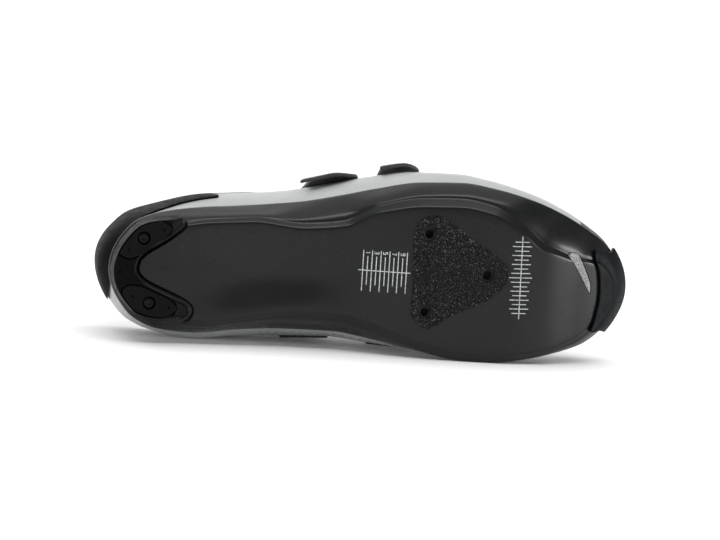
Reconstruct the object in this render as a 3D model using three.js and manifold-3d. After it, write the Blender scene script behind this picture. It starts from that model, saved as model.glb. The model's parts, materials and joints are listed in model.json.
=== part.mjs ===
// A right road-cycling shoe with a stiff moulded sole, lying on its medial side.
// The shoe is modelled standing on its sole: x runs from heel to toe, y to the medial side and z up,
// in millimetres, with z 0 at the heel treads. The last step lays it down, with +Z up.
import * as THREE from "three";
import { ConvexHull } from "three/addons/math/ConvexHull.js";
import Module from "manifold-3d";

const wasm = await Module();
wasm.setup();

// Driving dimensions in millimetres
const shoeLength = 275;
const ballWidth = 91;
const instepHeight = 104;
const collarHeight = 70;
const heelOverhang = 6;
const heelStack = 6;
const archRise = 9.5;
const toeSpring = 22;
const sideRise = 14;
const sideBulge = 7;

// Thicknesses, seats and clearances in millimetres
const clearance = 0.3;
const plateThickness = 5;
const lipThickness = 2.2;
const lipWidth = 5;
const lipInset = 1.4;
const upperWall = 2;
const throatWidth = 26;
const throatFloor = 40;
const insoleThickness = 3;
const insoleEdge = 1.2;
const insoleMargin = 1;
const tongueThickness = 3;
const counterThickness = 1;
const strapThickness = 1.6;
const bumperThickness = 1.6;
const padThickness = 0.8;
const treadProud = 1;
const treadMargin = 0.8;
const blockInset = 10;
const blockTopShare = 0.45;
const grooveWidth = 2.6;
const grooveDepth = 1.6;
const grooveMargin = 4;
const blockOverlap = 1;
const pocketDepth = 1.5;

// Bolts, inserts and screws in millimetres
const boltBase = 39.5;
const boltHeight = 31;
const boltMiddle = -5;
const insertBore = 4.2;
const insertDiameter = 6.2;
const insertHeight = 4;
const screwHeadDiameter = 6;
const screwHeadHeight = 1.4;
const screwShankDiameter = 3;
const screwShankLength = 2;
const socketDiameter = 2.6;
const socketDepth = 0.8;
const ventRecess = 0.3;
const ventThickness = 1;

// How far the cutting forms reach, past everything that they cut
const farAbove = instepHeight * 2;
const farBelow = -instepHeight;
const coreDrop = 20;

const medial = 1;
const lateral = -1;
const sideNames = { [medial]: "Medial", [lateral]: "Lateral" };
const soleLength = shoeLength - heelOverhang - bumperThickness;

// Where the fans of sections at the heel and toe are centred
const heelCupDepth = 34;
const toeBoxDepth = 30;
const stations = 32;
const tangentStep = 0.01;
const lineSteps = 4;
const roundSegments = 16;
const socketSegments = 6;

// Outline of the sole, seen from below. at is the share of the sole's length from its rear edge,
// widths are shares of the ball width, and the plateau's are shares of the half width.
const outline = [
  { at: 0, edgeMedial: 0, edgeLateral: 0, flatMedial: 0.7, flatLateral: 0.7 },
  { at: 0.02, edgeMedial: 0.178, edgeLateral: 0.174, flatMedial: 0.7, flatLateral: 0.7 },
  { at: 0.05, edgeMedial: 0.276, edgeLateral: 0.266, flatMedial: 0.71, flatLateral: 0.71 },
  { at: 0.1, edgeMedial: 0.334, edgeLateral: 0.319, flatMedial: 0.75, flatLateral: 0.75 },
  { at: 0.17, edgeMedial: 0.351, edgeLateral: 0.348, flatMedial: 0.77, flatLateral: 0.78 },
  { at: 0.25, edgeMedial: 0.33, edgeLateral: 0.365, flatMedial: 0.71, flatLateral: 0.78 },
  { at: 0.35, edgeMedial: 0.32, edgeLateral: 0.394, flatMedial: 0.62, flatLateral: 0.66 },
  { at: 0.43, edgeMedial: 0.323, edgeLateral: 0.44, flatMedial: 0.63, flatLateral: 0.64 },
  { at: 0.5, edgeMedial: 0.349, edgeLateral: 0.495, flatMedial: 0.71, flatLateral: 0.75 },
  { at: 0.58, edgeMedial: 0.392, edgeLateral: 0.544, flatMedial: 0.83, flatLateral: 0.765 },
  { at: 0.66, edgeMedial: 0.425, edgeLateral: 0.553, flatMedial: 0.9, flatLateral: 0.765 },
  { at: 0.72, edgeMedial: 0.438, edgeLateral: 0.529, flatMedial: 0.9, flatLateral: 0.75 },
  { at: 0.8, edgeMedial: 0.422, edgeLateral: 0.47, flatMedial: 0.885, flatLateral: 0.62 },
  { at: 0.86, edgeMedial: 0.389, edgeLateral: 0.4, flatMedial: 0.87, flatLateral: 0.5 },
  { at: 0.92, edgeMedial: 0.335, edgeLateral: 0.306, flatMedial: 0.82, flatLateral: 0.5 },
  { at: 0.96, edgeMedial: 0.254, edgeLateral: 0.226, flatMedial: 0.75, flatLateral: 0.6 },
  { at: 0.985, edgeMedial: 0.162, edgeLateral: 0.13, flatMedial: 0.7, flatLateral: 0.66 },
  { at: 1, edgeMedial: 0.025, edgeLateral: -0.025, flatMedial: 0.68, flatLateral: 0.68 },
];

// Side view of the sole. heel, arch and toe are shares of heelStack, archRise and toeSpring, the
// rims are shares of sideRise above them, and bevel and dish are shares of plateThickness.
const profile = [
  { at: 0, heel: 1.25, arch: 0, toe: 0, rimMedial: 0.6, rimLateral: 0.6, bevel: 0.2, dish: 0 },
  { at: 0.08, heel: 1, arch: 0, toe: 0, rimMedial: 0.66, rimLateral: 0.62, bevel: 0.25, dish: 0.1 },
  { at: 0.2, heel: 0.8, arch: 0.25, toe: 0, rimMedial: 0.82, rimLateral: 0.7, bevel: 0.32, dish: 0.3 },
  { at: 0.33, heel: 0.2, arch: 0.88, toe: 0, rimMedial: 1, rimLateral: 0.8, bevel: 0.4, dish: 0.25 },
  { at: 0.42, heel: 0, arch: 0.95, toe: 0, rimMedial: 1, rimLateral: 0.8, bevel: 0.42, dish: 0.1 },
  { at: 0.52, heel: 0, arch: 0.4, toe: 0, rimMedial: 0.85, rimLateral: 0.74, bevel: 0.55, dish: 0 },
  { at: 0.58, heel: 0, arch: 0.08, toe: 0, rimMedial: 0.76, rimLateral: 0.7, bevel: 0.62, dish: 0 },
  { at: 0.615, heel: 0, arch: 0, toe: 0, rimMedial: 0.7, rimLateral: 0.68, bevel: 0.64, dish: 0 },
  { at: 0.745, heel: 0, arch: 0, toe: 0, rimMedial: 0.6, rimLateral: 0.64, bevel: 0.6, dish: 0 },
  { at: 0.82, heel: 0, arch: 0, toe: 0.13, rimMedial: 0.56, rimLateral: 0.58, bevel: 0.5, dish: 0 },
  { at: 0.9, heel: 0, arch: 0, toe: 0.43, rimMedial: 0.5, rimLateral: 0.5, bevel: 0.3, dish: 0 },
  { at: 1, heel: 0, arch: 0, toe: 1, rimMedial: 0.4, rimLateral: 0.4, bevel: 0.15, dish: 0 },
];

// How far the heel block's foot lies inside the sole's edge, as shares of blockInset
const blockFoot = [
  { at: 0, insetMedial: 0.1, insetLateral: 0.1 },
  { at: 0.035, insetMedial: 0.28, insetLateral: 0.1 },
  { at: 0.055, insetMedial: 0.42, insetLateral: 0.13 },
  { at: 0.075, insetMedial: 0.58, insetLateral: 0.2 },
  { at: 0.1, insetMedial: 0.8, insetLateral: 0.3 },
  { at: 0.13, insetMedial: 1, insetLateral: 0.36 },
  { at: 1, insetMedial: 1, insetLateral: 0.36 },
];
const bevelRun = 1.4;
const dishSteps = [
  { out: 0, deep: 1 },
  { out: 0.4, deep: 0.7 },
  { out: 0.75, deep: 0.15 },
  { out: 1, deep: 0 },
];
const bandCurve = 1.5;
const bowlCurve = 4;
const bandSteps = [0.25, 0.5, 0.75, 1];
const bowlSteps = [1, 0.92, 0.8, 0.6, 0.3, 0];

// The upper's sections. ridge is the height of the top line as a share of instepHeight, square is
// how boxy the section is, 2 being an ellipse, and the bulges are shares of sideBulge.
const sections = [
  { at: 0, ridge: 0.93, square: 2.4, bulgeMedial: 0.42, bulgeLateral: 0.42 },
  { at: 0.08, ridge: 0.98, square: 2.5, bulgeMedial: 0.46, bulgeLateral: -0.06 },
  { at: 0.2, ridge: 1.04, square: 2.6, bulgeMedial: 0.84, bulgeLateral: 0.36 },
  { at: 0.32, ridge: 1.02, square: 2.6, bulgeMedial: 0.84, bulgeLateral: 0.28 },
  { at: 0.4, ridge: 0.935, square: 2.5, bulgeMedial: 0.74, bulgeLateral: 0.42 },
  { at: 0.48, ridge: 0.845, square: 2.4, bulgeMedial: 0.58, bulgeLateral: 0.48 },
  { at: 0.56, ridge: 0.755, square: 2.35, bulgeMedial: 0.3, bulgeLateral: 0.46 },
  { at: 0.64, ridge: 0.675, square: 2.35, bulgeMedial: 0.06, bulgeLateral: 0.38 },
  { at: 0.72, ridge: 0.61, square: 2.4, bulgeMedial: 0.06, bulgeLateral: 0.36 },
  { at: 0.8, ridge: 0.565, square: 2.4, bulgeMedial: 0.06, bulgeLateral: 0.33 },
  { at: 0.88, ridge: 0.54, square: 2.4, bulgeMedial: 0.06, bulgeLateral: 0.3 },
  { at: 1, ridge: 0.52, square: 2.4, bulgeMedial: 0.08, bulgeLateral: 0.08 },
];
const widestShare = 0.22;
const undercutSteps = [0, 0.5, 1];
const archSteps = 8;
const facetTolerance = 0.05;
const hiddenTolerance = 0.1;

// Edge of the ankle opening in side view: shares of the shoe's length and of the collar's height
const collarLine = [
  { at: -0.1, high: 1.03 },
  { at: 0, high: 1.02 },
  { at: 0.03, high: 1 },
  { at: 0.08, high: 0.93 },
  { at: 0.14, high: 0.84 },
  { at: 0.2, high: 0.81 },
  { at: 0.26, high: 0.86 },
  { at: 0.31, high: 1 },
  { at: 0.345, high: 1.22 },
  { at: 0.37, high: 1.6 },
];

// Half of the throat's slot in plan: shares of the shoe's length and of the throat's width
const throatLine = [
  { at: 0.28, half: 0.56 },
  { at: 0.36, half: 0.54 },
  { at: 0.46, half: 0.5 },
  { at: 0.56, half: 0.42 },
  { at: 0.62, half: 0.33 },
  { at: 0.65, half: 0.2 },
  { at: 0.66, half: 0 },
];

// Outlines on the sole. at is the share of the sole's length and across that of the ball width.
const lateralTreadLine = [
  { at: 0.011, across: -0.105 },
  { at: 0.026, across: -0.196 },
  { at: 0.042, across: -0.242 },
  { at: 0.065, across: -0.27 },
  { at: 0.087, across: -0.275 },
  { at: 0.107, across: -0.24 },
  { at: 0.096, across: -0.194 },
  { at: 0.074, across: -0.141 },
  { at: 0.053, across: -0.094 },
  { at: 0.028, across: -0.071 },
];
const medialTreadLine = [
  { at: 0.022, across: 0.108 },
  { at: 0.031, across: 0.082 },
  { at: 0.056, across: 0.084 },
  { at: 0.083, across: 0.117 },
  { at: 0.112, across: 0.154 },
  { at: 0.123, across: 0.197 },
  { at: 0.104, across: 0.241 },
  { at: 0.076, across: 0.241 },
  { at: 0.047, across: 0.216 },
  { at: 0.027, across: 0.174 },
];
const horseshoeLine = [
  { at: 0.1, across: -0.36 },
  { at: 0.118, across: -0.318 },
  { at: 0.128, across: -0.288 },
  { at: 0.1275, across: -0.26 },
  { at: 0.12, across: -0.237 },
  { at: 0.098, across: -0.186 },
  { at: 0.08, across: -0.151 },
  { at: 0.0615, across: -0.115 },
  { at: 0.047, across: -0.069 },
  { at: 0.0425, across: -0.018 },
  { at: 0.0435, across: 0.015 },
  { at: 0.053, across: 0.055 },
  { at: 0.069, across: 0.087 },
  { at: 0.096, across: 0.123 },
  { at: 0.12, across: 0.154 },
  { at: 0.14, across: 0.184 },
  { at: 0.148, across: 0.212 },
  { at: 0.145, across: 0.24 },
  { at: 0.13, across: 0.275 },
  { at: 0.112, across: 0.34 },
];
const padLine = [
  { at: 0.565, across: -0.299 },
  { at: 0.576, across: -0.351 },
  { at: 0.604, across: -0.376 },
  { at: 0.626, across: -0.352 },
  { at: 0.678, across: -0.249 },
  { at: 0.725, across: -0.166 },
  { at: 0.746, across: -0.103 },
  { at: 0.748, across: -0.037 },
  { at: 0.74, across: 0.006 },
  { at: 0.703, across: 0.097 },
  { at: 0.649, across: 0.167 },
  { at: 0.597, across: 0.254 },
  { at: 0.577, across: 0.218 },
  { at: 0.567, across: 0.187 },
  { at: 0.566, across: 0.051 },
];
const ventLine = [
  { at: 0.87, across: -0.18 },
  { at: 0.881, across: -0.194 },
  { at: 0.893, across: -0.183 },
  { at: 0.904, across: -0.127 },
  { at: 0.914, across: -0.071 },
  { at: 0.9225, across: -0.013 },
  { at: 0.922, across: 0.042 },
  { at: 0.905, across: -0.029 },
  { at: 0.889, across: -0.102 },
  { at: 0.876, across: -0.152 },
];
const bumperLine = [
  { at: 0.975, across: -0.215 },
  { at: 0.966, across: -0.193 },
  { at: 0.945, across: -0.2 },
  { at: 0.929, across: -0.208 },
  { at: 0.928, across: -0.157 },
  { at: 0.938, across: -0.079 },
  { at: 0.942, across: 0.066 },
  { at: 0.936, across: 0.172 },
  { at: 0.93, across: 0.259 },
  { at: 0.949, across: 0.255 },
  { at: 0.962, across: 0.265 },
  { at: 0.975, across: 0.28 },
];
const lateralScrew = { at: 0.056, across: -0.183 };
const medialScrew = { at: 0.072, across: 0.17 };
const rearBoltAt = 0.5923;

// The sloping tips of the horseshoe: where they start as shares of the sole's length
const tipStart = { [medial]: 0.122, [lateral]: 0.108 };
const tipRun = 6;
const tipRise = 4.5;

// The heel counter in side view: shares of the shoe's length and collar's height. It reaches
// less far forward on the medial side.
const medialCounterLine = [
  { at: 0.022, high: 0.05 },
  { at: 0.026, high: 0.3 },
  { at: 0.03, high: 0.5 },
  { at: 0.034, high: 0.7 },
  { at: 0.03, high: 0.8 },
];
const lateralCounterLine = [
  { at: 0.03, high: 0.05 },
  { at: 0.058, high: 0.17 },
  { at: 0.071, high: 0.25 },
  { at: 0.1, high: 0.31 },
  { at: 0.15, high: 0.4 },
  { at: 0.224, high: 0.5 },
  { at: 0.21, high: 0.62 },
  { at: 0.12, high: 0.7 },
  { at: 0.05, high: 0.8 },
];

// Straps. rear and front are shares of the shoe's length on the medial and lateral sides.
const straps = [
  {
    name: "strap_instep",
    medialRear: 0.36,
    medialFront: 0.45,
    lateralRear: 0.383,
    lateralFront: 0.5,
    medialEnd: 46,
    lateralEnd: 36,
    tipLean: 7,
    flare: 2.2,
  },
  {
    name: "strap_forefoot",
    medialRear: 0.52,
    medialFront: 0.6,
    lateralRear: 0.517,
    lateralFront: 0.611,
    medialEnd: 38,
    lateralEnd: 33,
    tipLean: 3,
    flare: 1.2,
  },
];

// The straps' free ends in side view: shares of the strap's width, and rises above its end in
// millimetres
const strapTip = [
  { along: 0, rise: 0 },
  { along: 0.6, rise: 1 },
  { along: 0.85, rise: 6 },
  { along: 1, rise: 14 },
];
const tipLeanRise = 12;

// The tongue. rear and front are shares of the shoe's length, and the halves of throatWidth.
const tongue = { rear: 0.315, front: 0.7, rearHalf: 0.95, frontHalf: 0.62, corner: 8 };

// Faces that the shoe may come to rest on look this much to its medial side
const restingShare = 0.75;

const mix = (a, b, share) => a + (b - a) * share;
const clamp = (value, low, high) => Math.min(high, Math.max(low, value));
const eased = (share) => share * share * (3 - 2 * share);
const turnOf = (share) => Math.acos(1 - 2 * clamp(share, 0, 1)) / Math.PI;
const shareOf = (turn) => (1 - Math.cos(Math.PI * turn)) / 2;

// Slope at a row: none at a peak or beside a level stretch, so that a curve never overshoots.
// At the tips only a width changes, since the shoe is round there.
function slopeAt(turns, values, i, isWidth) {
  const last = values.length - 1;
  const slope = (a) => (values[a + 1] - values[a]) / (turns[a + 1] - turns[a]);
  if (i === 0) return isWidth ? slope(0) : 0;
  if (i === last) return isWidth ? slope(last - 1) : 0;
  const before = slope(i - 1);
  const after = slope(i);
  return before * after <= 0 ? 0 : (2 * before * after) / (before + after);
}

// A smooth curve through one column of a table, read by the share of the length
function along(rows, column) {
  const turns = rows.map((row) => turnOf(row.at));
  const values = rows.map((row) => row[column]);
  const isWidth = column.startsWith("edge");
  const slopes = values.map((value, i) => slopeAt(turns, values, i, isWidth));
  return (share) => {
    const turn = turnOf(share);
    let i = 0;
    while (i < rows.length - 2 && turn > turns[i + 1]) i += 1;
    const span = turns[i + 1] - turns[i];
    const u = (turn - turns[i]) / span;
    const level = mix(values[i], values[i + 1], eased(u));
    return level + span * (slopes[i] * u * (1 - u) ** 2 - slopes[i + 1] * (1 - u) * u ** 2);
  };
}

// All columns of a table as curves
function curves(rows) {
  const columns = Object.keys(rows[0]).filter((column) => column !== "at");
  return Object.fromEntries(columns.map((column) => [column, along(rows, column)]));
}
const plan = curves(outline);
const rise = curves(profile);
const shell = curves(sections);
const heelFoot = curves(blockFoot);

// The sole's edge in plan on one side, moved outwards by grow
function edgePoint(side, share, grow = 0) {
  const at = (turn) => {
    const place = shareOf(turn);
    const width = plan[`edge${sideNames[side]}`](place);
    return new THREE.Vector2(heelOverhang + soleLength * place, side * ballWidth * width);
  };
  const turn = turnOf(share);
  const ahead = at(Math.min(turn + tangentStep, 1));
  const tangent = ahead.sub(at(Math.max(turn - tangentStep, 0))).normalize();
  const outward = new THREE.Vector2(-tangent.y, tangent.x).multiplyScalar(side);
  if (turn === 0) outward.set(-1, 0);
  if (turn === 1) outward.set(1, 0);
  return at(turn).add(outward.multiplyScalar(grow));
}

// The middle of the fan of sections
function spinePoint(share) {
  return new THREE.Vector2(mix(heelCupDepth, shoeLength - toeBoxDepth, share), 0);
}

// A point at a share of the way from the spine to the edge in plan, at height z
function place(spine, edge, share, z) {
  return new THREE.Vector3(mix(spine.x, edge.x, share), mix(spine.y, edge.y, share), z);
}

const plateauHeight = (share) =>
  heelStack * rise.heel(share) + archRise * rise.arch(share) + toeSpring * rise.toe(share);
const heightAt = (x) => plateauHeight(clamp((x - heelOverhang) / soleLength, 0, 1));
const rimHeight = (side, share) =>
  plateauHeight(share) + sideRise * rise[`rim${sideNames[side]}`](share);

// Underside of the sole from the spine to the edge, moved outwards and down by grow
function undersideSection(side, share, grow) {
  const spine = spinePoint(share);
  const edge = edgePoint(side, share, grow);
  const reach = edge.distanceTo(spine);
  const bevel = plateThickness * rise.bevel(share);
  const dish = plateThickness * rise.dish(share);
  const flat = plan[`flat${sideNames[side]}`](share);
  const bevelEnd = flat + (bevel * bevelRun) / reach;
  const rim = rimHeight(side, share) - grow;
  const level = (part, lift) => {
    return place(spine, edge, part, heightAt(mix(spine.x, edge.x, part)) - grow + lift);
  };
  const crease = level(bevelEnd, bevel);
  return [
    ...dishSteps.map((step) => level(flat * step.out, dish * step.deep)),
    crease,
    ...bandSteps.map((u) => {
      return place(spine, edge, mix(bevelEnd, 1, u), mix(crease.z, rim, u ** bandCurve));
    }),
  ];
}

// Top of the sole from the lip at the edge down into the bowl under the foot
function bowlSection(side, share) {
  const spine = spinePoint(share);
  const edge = edgePoint(side, share);
  const lip = rimHeight(side, share) + lipThickness;
  const inner = 1 - lipWidth / edge.distanceTo(spine);
  return [
    place(spine, edge, 1, lip),
    ...bowlSteps.map((q) => {
      const floor = heightAt(mix(spine.x, edge.x, inner * q)) + plateThickness;
      return place(spine, edge, inner * q, mix(floor, lip, q ** bowlCurve));
    }),
  ];
}

// A closed solid from sections that run from the spine below, around the edge, to the spine above.
// Both sides share the spine and the first and last sections.
function fanSolid(sectionAt) {
  const shares = Array.from({ length: stations + 1 }, (_, j) => shareOf(j / stations));
  const points = [];
  const index = { [medial]: [], [lateral]: [] };
  for (const side of [medial, lateral]) {
    shares.forEach((share, j) => {
      const isTip = j === 0 || j === stations;
      const section = sectionAt(side, share);
      const last = section.length - 1;
      index[side][j] = section.map((point, k) => {
        const isShared = side === lateral && (isTip || k === 0 || k === last);
        if (isShared) return index[medial][j][k];
        points.push(point);
        return points.length - 1;
      });
    });
  }
  const faces = [];
  const addFace = (a, b, c) => {
    if (a !== b && b !== c && c !== a) faces.push(a, b, c);
  };
  for (const side of [medial, lateral]) {
    const grid = index[side];
    for (let j = 0; j < stations; j += 1) {
      for (let k = 0; k < grid[j].length - 1; k += 1) {
        const corners = [grid[j][k], grid[j + 1][k], grid[j + 1][k + 1], grid[j][k + 1]];
        if (side === lateral) corners.reverse();
        const [a, b, c, d] = corners;
        const isBackDiagonal = points[a].distanceTo(points[c]) > points[b].distanceTo(points[d]);
        if (isBackDiagonal) {
          addFace(a, b, d);
          addFace(b, c, d);
        } else {
          addFace(a, b, c);
          addFace(a, c, d);
        }
      }
    }
  }
  return solidFrom(points, faces);
}

// A manifold solid from points and triangles, with its faces turned outwards
function solidFrom(points, faces) {
  const volume = signedVolume(points, faces);
  const ordered = volume < 0 ? [...faces].reverse() : faces;
  return new wasm.Manifold(
    new wasm.Mesh({
      numProp: 3,
      vertProperties: new Float32Array(points.flatMap((point) => point.toArray())),
      triVerts: new Uint32Array(ordered),
    }),
  );
}

function signedVolume(points, faces) {
  let total = 0;
  for (let i = 0; i < faces.length; i += 3) {
    const [a, b, c] = [points[faces[i]], points[faces[i + 1]], points[faces[i + 2]]];
    total += a.dot(new THREE.Vector3().crossVectors(b, c)) / 6;
  }
  return total;
}

// Everything above the sole's underside, or above a copy of it moved out by grow. The top lies
// lift above the rim.
function soleForm(grow, lift) {
  return fanSolid((side, share) => {
    const section = undersideSection(side, share, grow);
    const rim = section[section.length - 1];
    const top = rim.clone().setZ(rim.z + grow + lift);
    const middle = Math.max(rimHeight(medial, share), rimHeight(lateral, share)) + lift;
    const spine = spinePoint(share);
    return [...section, top, new THREE.Vector3(spine.x, spine.y, middle)];
  });
}

// Half a section of the upper from the lip of the sole to the ridge. inset moves it inwards,
// and flare moves the lateral wall outwards towards its lower end.
function upperSection(side, share, inset, flare = 0) {
  const bulge = sideBulge * shell[`bulge${sideNames[side]}`](share);
  const spine = spinePoint(share);
  const foot = rimHeight(side, share) + lipThickness + clearance;
  const top = instepHeight * shell.ridge(share);
  const widest = mix(foot, top, widestShare);
  const square = shell.square(share);
  const ridge = top - inset;
  const wide = edgePoint(side, share, bulge - inset);
  const points = undercutSteps.slice(0, -1).map((u) => {
    const out = mix(bulge, -lipInset, (1 - u) ** 2) - inset;
    const edge = edgePoint(side, share, out + flare);
    return new THREE.Vector3(edge.x, edge.y, mix(foot, widest, u));
  });
  for (let i = 0; i <= archSteps; i += 1) {
    const angle = ((i / archSteps) * Math.PI) / 2;
    const cos = Math.cos(angle);
    const sin = Math.sin(angle);
    const radius = (Math.abs(cos) ** square + Math.abs(sin) ** square) ** (-1 / square);
    const out = i === archSteps ? 0 : radius * cos;
    const up = i === archSteps ? 1 : radius * sin;
    const leave = flare * eased(clamp(1 - (3 * i) / archSteps, 0, 1));
    const edge = leave > 0 ? edgePoint(side, share, bulge - inset + leave) : wide;
    points.push(place(spine, edge, out, mix(widest, ridge, up)));
  }
  return points;
}

// The upper's form as a solid. drop lengthens it downwards.
function upperForm(inset, drop = 0, flare = 0) {
  return fanSolid((side, share) => {
    const wall = upperSection(side, share, inset, side === lateral ? flare : 0);
    const low = wall[0].z - drop;
    const spine = spinePoint(share);
    const base = Math.min(rimHeight(medial, share), rimHeight(lateral, share));
    const start = new THREE.Vector3(spine.x, spine.y, base + lipThickness - drop);
    const foot = drop > 0 ? [wall[0].clone().setZ(low)] : [];
    return [start, ...foot, ...wall];
  });
}

// A layer of the upper's own form between two insets
function upperLayer(inset, thickness, flare = 0) {
  return upperForm(inset, 0, flare).subtract(upperForm(inset + thickness, coreDrop, flare));
}

// Points of a table on the sole
const onSole = (row) => new THREE.Vector2(heelOverhang + soleLength * row.at, ballWidth * row.across);
// Points of a table in side view
const inSideView = (row) => new THREE.Vector2(shoeLength * row.at, collarHeight * row.high);

// A smooth line through a few points
function smoothLine(points, isClosed) {
  const line = new THREE.CatmullRomCurve3(
    points.map((point) => new THREE.Vector3(point.x, point.y, 0)),
    isClosed,
    "centripetal",
  );
  const count = lineSteps * (isClosed ? points.length : points.length - 1);
  const samples = line.getPoints(count);
  if (isClosed) samples.pop();
  return samples.map((point) => [point.x, point.y]);
}

function crossSection(points) {
  return new wasm.CrossSection([points], "EvenOdd");
}

// An upright prism over a shape in plan
function prism(shape, low, high) {
  return shape.extrude(high - low).translate([0, 0, low]);
}

// A prism across the shoe over a shape in side view
function crossPrism(shape, from = -ballWidth, to = ballWidth) {
  return shape
    .extrude(to - from)
    .rotate([90, 0, 0])
    .translate([0, to, 0]);
}

function cylinder(x, y, low, high, diameter, segments = roundSegments) {
  const radius = diameter / 2;
  return wasm.Manifold.cylinder(high - low, radius, radius, segments).translate([x, y, low]);
}

// The sole's outline in plan, moved outwards by growOf at each side and share
function soleOutline(growOf) {
  const shares = Array.from({ length: stations + 1 }, (_, j) => shareOf(j / stations));
  const point = (side, share) => edgePoint(side, share, growOf(side, share));
  const up = shares.map((share) => point(lateral, share));
  const back = shares.slice(1, -1).reverse().map((share) => point(medial, share));
  return crossSection([...up, ...back].map((corner) => [corner.x, corner.y]));
}
const footInset = (side, share) => blockInset * heelFoot[`inset${sideNames[side]}`](share);
const treadLimit = soleOutline((side, share) => -footInset(side, share) - treadMargin);
const grooveLimit = soleOutline(() => -grooveMargin);
const treadShape = (line) => crossSection(smoothLine(line.map(onSole), true)).intersect(treadLimit);
const lateralTread = treadShape(lateralTreadLine);
const medialTread = treadShape(medialTreadLine);
const padShape = crossSection(smoothLine(padLine.map(onSole), true));
const ventShape = crossSection(smoothLine(ventLine.map(onSole), true));
const screwPlaces = [onSole(lateralScrew), onSole(medialScrew)];
const rearBoltX = heelOverhang + soleLength * rearBoltAt;
const bolts = {
  front: new THREE.Vector2(rearBoltX + boltHeight, boltMiddle),
  lateral: new THREE.Vector2(rearBoltX, boltMiddle - boltBase / 2),
  medial: new THREE.Vector2(rearBoltX, boltMiddle + boltBase / 2),
};

// What lies behind the inner edge of the heel block in plan
const horseshoe = smoothLine(horseshoeLine.map(onSole), false);
const horseshoeShape = crossSection([
  [-shoeLength, -ballWidth],
  [horseshoe[0][0], -ballWidth],
  ...horseshoe,
  [horseshoe[horseshoe.length - 1][0], ballWidth],
  [-shoeLength, ballWidth],
]);

// The stiff moulded sole, with a shallow groove beside the heel block
function makeSole() {
  let sole = fanSolid((side, share) => [
    ...undersideSection(side, share, 0),
    ...bowlSection(side, share),
  ]);
  for (const bolt of Object.values(bolts)) {
    const hole = cylinder(bolt.x, bolt.y, farBelow, farAbove, insertDiameter + 2 * clearance);
    sole = sole.subtract(hole);
  }
  const wider = horseshoeShape.offset(grooveWidth, "Miter").simplify(hiddenTolerance);
  const beside = wider.subtract(horseshoeShape.simplify(hiddenTolerance)).intersect(grooveLimit);
  const groove = prism(beside, farBelow, farAbove).subtract(soleForm(-grooveDepth, farAbove));
  return sole.subtract(prism(ventShape, farBelow, farAbove)).subtract(groove);
}

// The rubber horseshoe under the heel
function makeHeelBlock() {
  const body = fanSolid((side, share) => {
    const spine = spinePoint(share);
    const inset = footInset(side, share);
    const foot = edgePoint(side, share, -inset);
    const top = edgePoint(side, share, -inset * blockTopShare);
    const high = rimHeight(side, share) + blockOverlap;
    return [
      place(spine, foot, 0, treadProud),
      place(spine, foot, 1, treadProud),
      place(spine, top, 1, high),
      place(spine, top, 0, rimHeight(medial, share) + blockOverlap),
    ];
  });
  let block = body.intersect(prism(horseshoeShape, farBelow, farAbove));
  block = block.subtract(soleForm(clearance, farAbove));
  for (const tread of [lateralTread, medialTread]) {
    block = block.subtract(prism(tread.offset(clearance), farBelow, treadProud + pocketDepth));
  }
  const holeTop = treadProud + pocketDepth + screwShankLength + clearance;
  for (const screw of screwPlaces) {
    const holeDiameter = screwShankDiameter + 2 * clearance;
    const hole = cylinder(screw.x, screw.y, farBelow, holeTop, holeDiameter);
    block = block.subtract(hole);
  }
  for (const side of [medial, lateral]) {
    const tip = heelOverhang + soleLength * tipStart[side];
    const slope = crossSection([
      [tip, farBelow],
      [tip, treadProud],
      [tip + tipRun, treadProud + tipRise],
      [shoeLength, treadProud + tipRise],
      [shoeLength, farBelow],
    ]);
    const half = side === medial ? crossPrism(slope, 0, ballWidth) : crossPrism(slope, -ballWidth, 0);
    block = block.subtract(half);
  }
  return largest(block);
}

// One almond-shaped tread insert in its pocket
function makeTread(shape, screw) {
  const top = treadProud + pocketDepth - clearance;
  const holeDiameter = screwHeadDiameter + 2 * clearance;
  const hole = cylinder(screw.x, screw.y, farBelow, farAbove, holeDiameter);
  return prism(shape, 0, top).subtract(hole);
}

// A screw with a socket head in a tread
function makeScrew(place) {
  const top = treadProud + pocketDepth - clearance;
  const low = top - screwHeadHeight;
  const head = cylinder(place.x, place.y, low, top, screwHeadDiameter);
  const shankStart = top - screwHeadHeight / 2;
  const shankEnd = top + clearance + screwShankLength;
  const shank = cylinder(place.x, place.y, shankStart, shankEnd, screwShankDiameter);
  const socketEnd = low + socketDepth;
  const socket = cylinder(place.x, place.y, farBelow, socketEnd, socketDiameter, socketSegments);
  return head.add(shank).subtract(socket);
}

// The rubber guard around the toe
function makeBumper() {
  const line = smoothLine(bumperLine.map(onSole), false);
  const front = shoeLength * 2;
  const region = crossSection([...line, [front, ballWidth], [front, -ballWidth]]);
  const outside = soleForm(clearance + bumperThickness, lipThickness / 2);
  const layer = outside.subtract(soleForm(clearance, farAbove));
  return largest(layer.intersect(prism(region, farBelow, farAbove)));
}

// The non-slip pad under the ball
function makePad() {
  const layer = soleForm(clearance + padThickness, 0).subtract(soleForm(clearance, farAbove));
  let pad = layer.intersect(prism(padShape, farBelow, farAbove));
  for (const bolt of Object.values(bolts)) {
    pad = pad.subtract(cylinder(bolt.x, bolt.y, farBelow, farAbove, insertDiameter));
  }
  return pad;
}

// A threaded insert, flush with the underside of the sole
function makeInsert(bolt) {
  const body = cylinder(bolt.x, bolt.y, 0, insertHeight, insertDiameter);
  return body.subtract(cylinder(bolt.x, bolt.y, farBelow, farAbove, insertBore));
}

// The mesh in the vent, set back from the underside
function makeVentMesh() {
  const inside = soleForm(-ventRecess - ventThickness, farAbove);
  const layer = soleForm(-ventRecess, 0).subtract(inside);
  return largest(layer.intersect(prism(ventShape.offset(-clearance), farBelow, farAbove)));
}

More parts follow.
